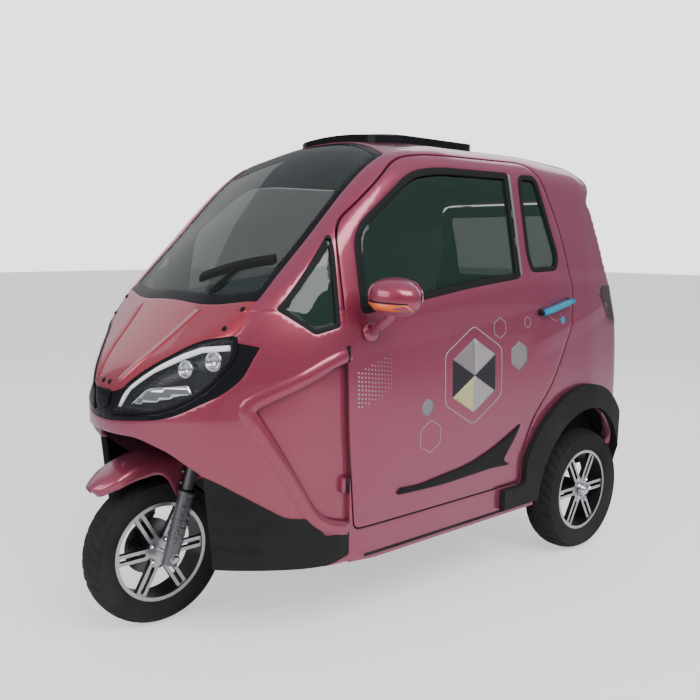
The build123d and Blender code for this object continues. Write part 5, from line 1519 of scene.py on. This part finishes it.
makeRimFaces()
for finish, nodeNames in finishes.items():
    for nodeName in nodeNames.split():
        cadNodes[nodeName].data.materials.clear()
        cadNodes[nodeName].data.materials.append(materials[finish])
print("node finishes set:", sum(len(names.split()) for names in finishes.values()))


# floor, light and camera
studio = {"floor": rgb(0.86, 0.86, 0.87), "sky": rgb(0.62, 0.63, 0.68), "skyPower": 1.0,
          "skyLow": rgb(0.22, 0.22, 0.24), "backdrop": rgb(1.0, 1.0, 1.0), "backdropPower": 2.4,
          "floorGlow": 0.75, "key": 220.0, "fill": 70.0, "far": 14.0, "back": 40.0}
floorMesh = bmesh.new()
bmesh.ops.create_grid(floorMesh, x_segments=8, y_segments=8, size=30.0)
floorData = bpy.data.meshes.new("studioFloor")
floorMesh.to_mesh(floorData)
floorMesh.free()
studioFloor = bpy.data.objects.new("studioFloor", floorData)
bpy.context.scene.collection.objects.link(studioFloor)
floorMaterial, floorTree, floorShader = newMaterial("studioFloor", colour=studio["floor"], rough=0.7,
                                                    specular=0.1)
floorGrain = placeGroup(floorTree, grainGroup, Scale=60.0, Depth=1.0)
floorTree.links.new(mixColour(floorTree, mathNode(floorTree, "MULTIPLY", floorGrain.outputs["Shade"], 0.2),
                              studio["floor"], rgb(0.80, 0.80, 0.81)), floorShader.inputs["Base Color"])
floorShader.inputs["Emission Color"].default_value = studio["backdrop"]
floorPath = addNode(floorTree, "ShaderNodeLightPath")
floorTree.links.new(mathNode(floorTree, "MULTIPLY", floorPath.outputs["Is Camera Ray"], studio["floorGlow"]),
                    floorShader.inputs["Emission Strength"])
floorData.materials.append(floorMaterial)

world = bpy.data.worlds.new("studioSky")
bpy.context.scene.world = world
world.use_nodes = True
sky = world.node_tree
skyPlace = addNode(sky, "ShaderNodeTexCoord")
skySplit = addNode(sky, "ShaderNodeSeparateXYZ")
sky.links.new(skyPlace.outputs["Generated"], skySplit.inputs[0])
skyRise = mathNode(sky, "SMOOTH_MIN", mathNode(sky, "MAXIMUM", skySplit.outputs[2], 0.0), 0.8)
skyShade = mixColour(sky, skyRise, studio["skyLow"], studio["sky"])
skyPath = addNode(sky, "ShaderNodeLightPath")
seen = mixColour(sky, skyPath.outputs["Is Camera Ray"], skyShade, studio["backdrop"])
sky.links.new(seen, sky.nodes["Background"].inputs[0])
skyPower = mathNode(sky, "ADD", studio["skyPower"], mathNode(
    sky, "MULTIPLY", skyPath.outputs["Is Camera Ray"], studio["backdropPower"] - studio["skyPower"]))
sky.links.new(skyPower, sky.nodes["Background"].inputs[1])


def areaLight(name, place, aim, size, power):
    data = bpy.data.lights.new(name, "AREA")
    data.shape = "RECTANGLE"
    data.size, data.size_y = size
    data.energy = power
    lamp = bpy.data.objects.new(name, data)
    bpy.context.scene.collection.objects.link(lamp)
    lamp.location = place
    lamp.rotation_euler = (Vector(aim) - Vector(place)).to_track_quat("-Z", "Y").to_euler()


areaLight("keyLight", (1.0, 4.2, 4.4), (0, 0, 0.7), (4.0, 2.6), studio["key"])
areaLight("frontLight", (5.0, 0.5, 2.6), (0.4, 0, 0.8), (3.0, 2.4), studio["fill"])
areaLight("backLight", (-4.2, -1.5, 4.0), (0, 0, 0.9), (3.6, 2.4), studio["back"])
areaLight("farLight", (0.5, -4.5, 3.0), (0, 0, 0.8), (3.6, 2.4), studio["far"])

cameraSetting = {"place": (2.147, 2.397, 1.238), "yaw": -2.2954, "pitch": -0.1286, "roll": 0.0064,
                 "lens": 43.23}
cameraData = bpy.data.cameras.new("photoCamera")
cameraData.sensor_width = 36.0
cameraData.lens = cameraSetting["lens"]
cameraData.clip_end = 100
camera = bpy.data.objects.new("photoCamera", cameraData)
bpy.context.scene.collection.objects.link(camera)
bpy.context.scene.camera = camera
camera.location = cameraSetting["place"]
lookWay = Vector((math.cos(cameraSetting["yaw"]) * math.cos(cameraSetting["pitch"]),
                  math.sin(cameraSetting["yaw"]) * math.cos(cameraSetting["pitch"]),
                  math.sin(cameraSetting["pitch"])))
camera.rotation_mode = "QUATERNION"
camera.rotation_quaternion = lookWay.to_track_quat("-Z", "Y") @ Quaternion((0, 0, 1), cameraSetting["roll"])
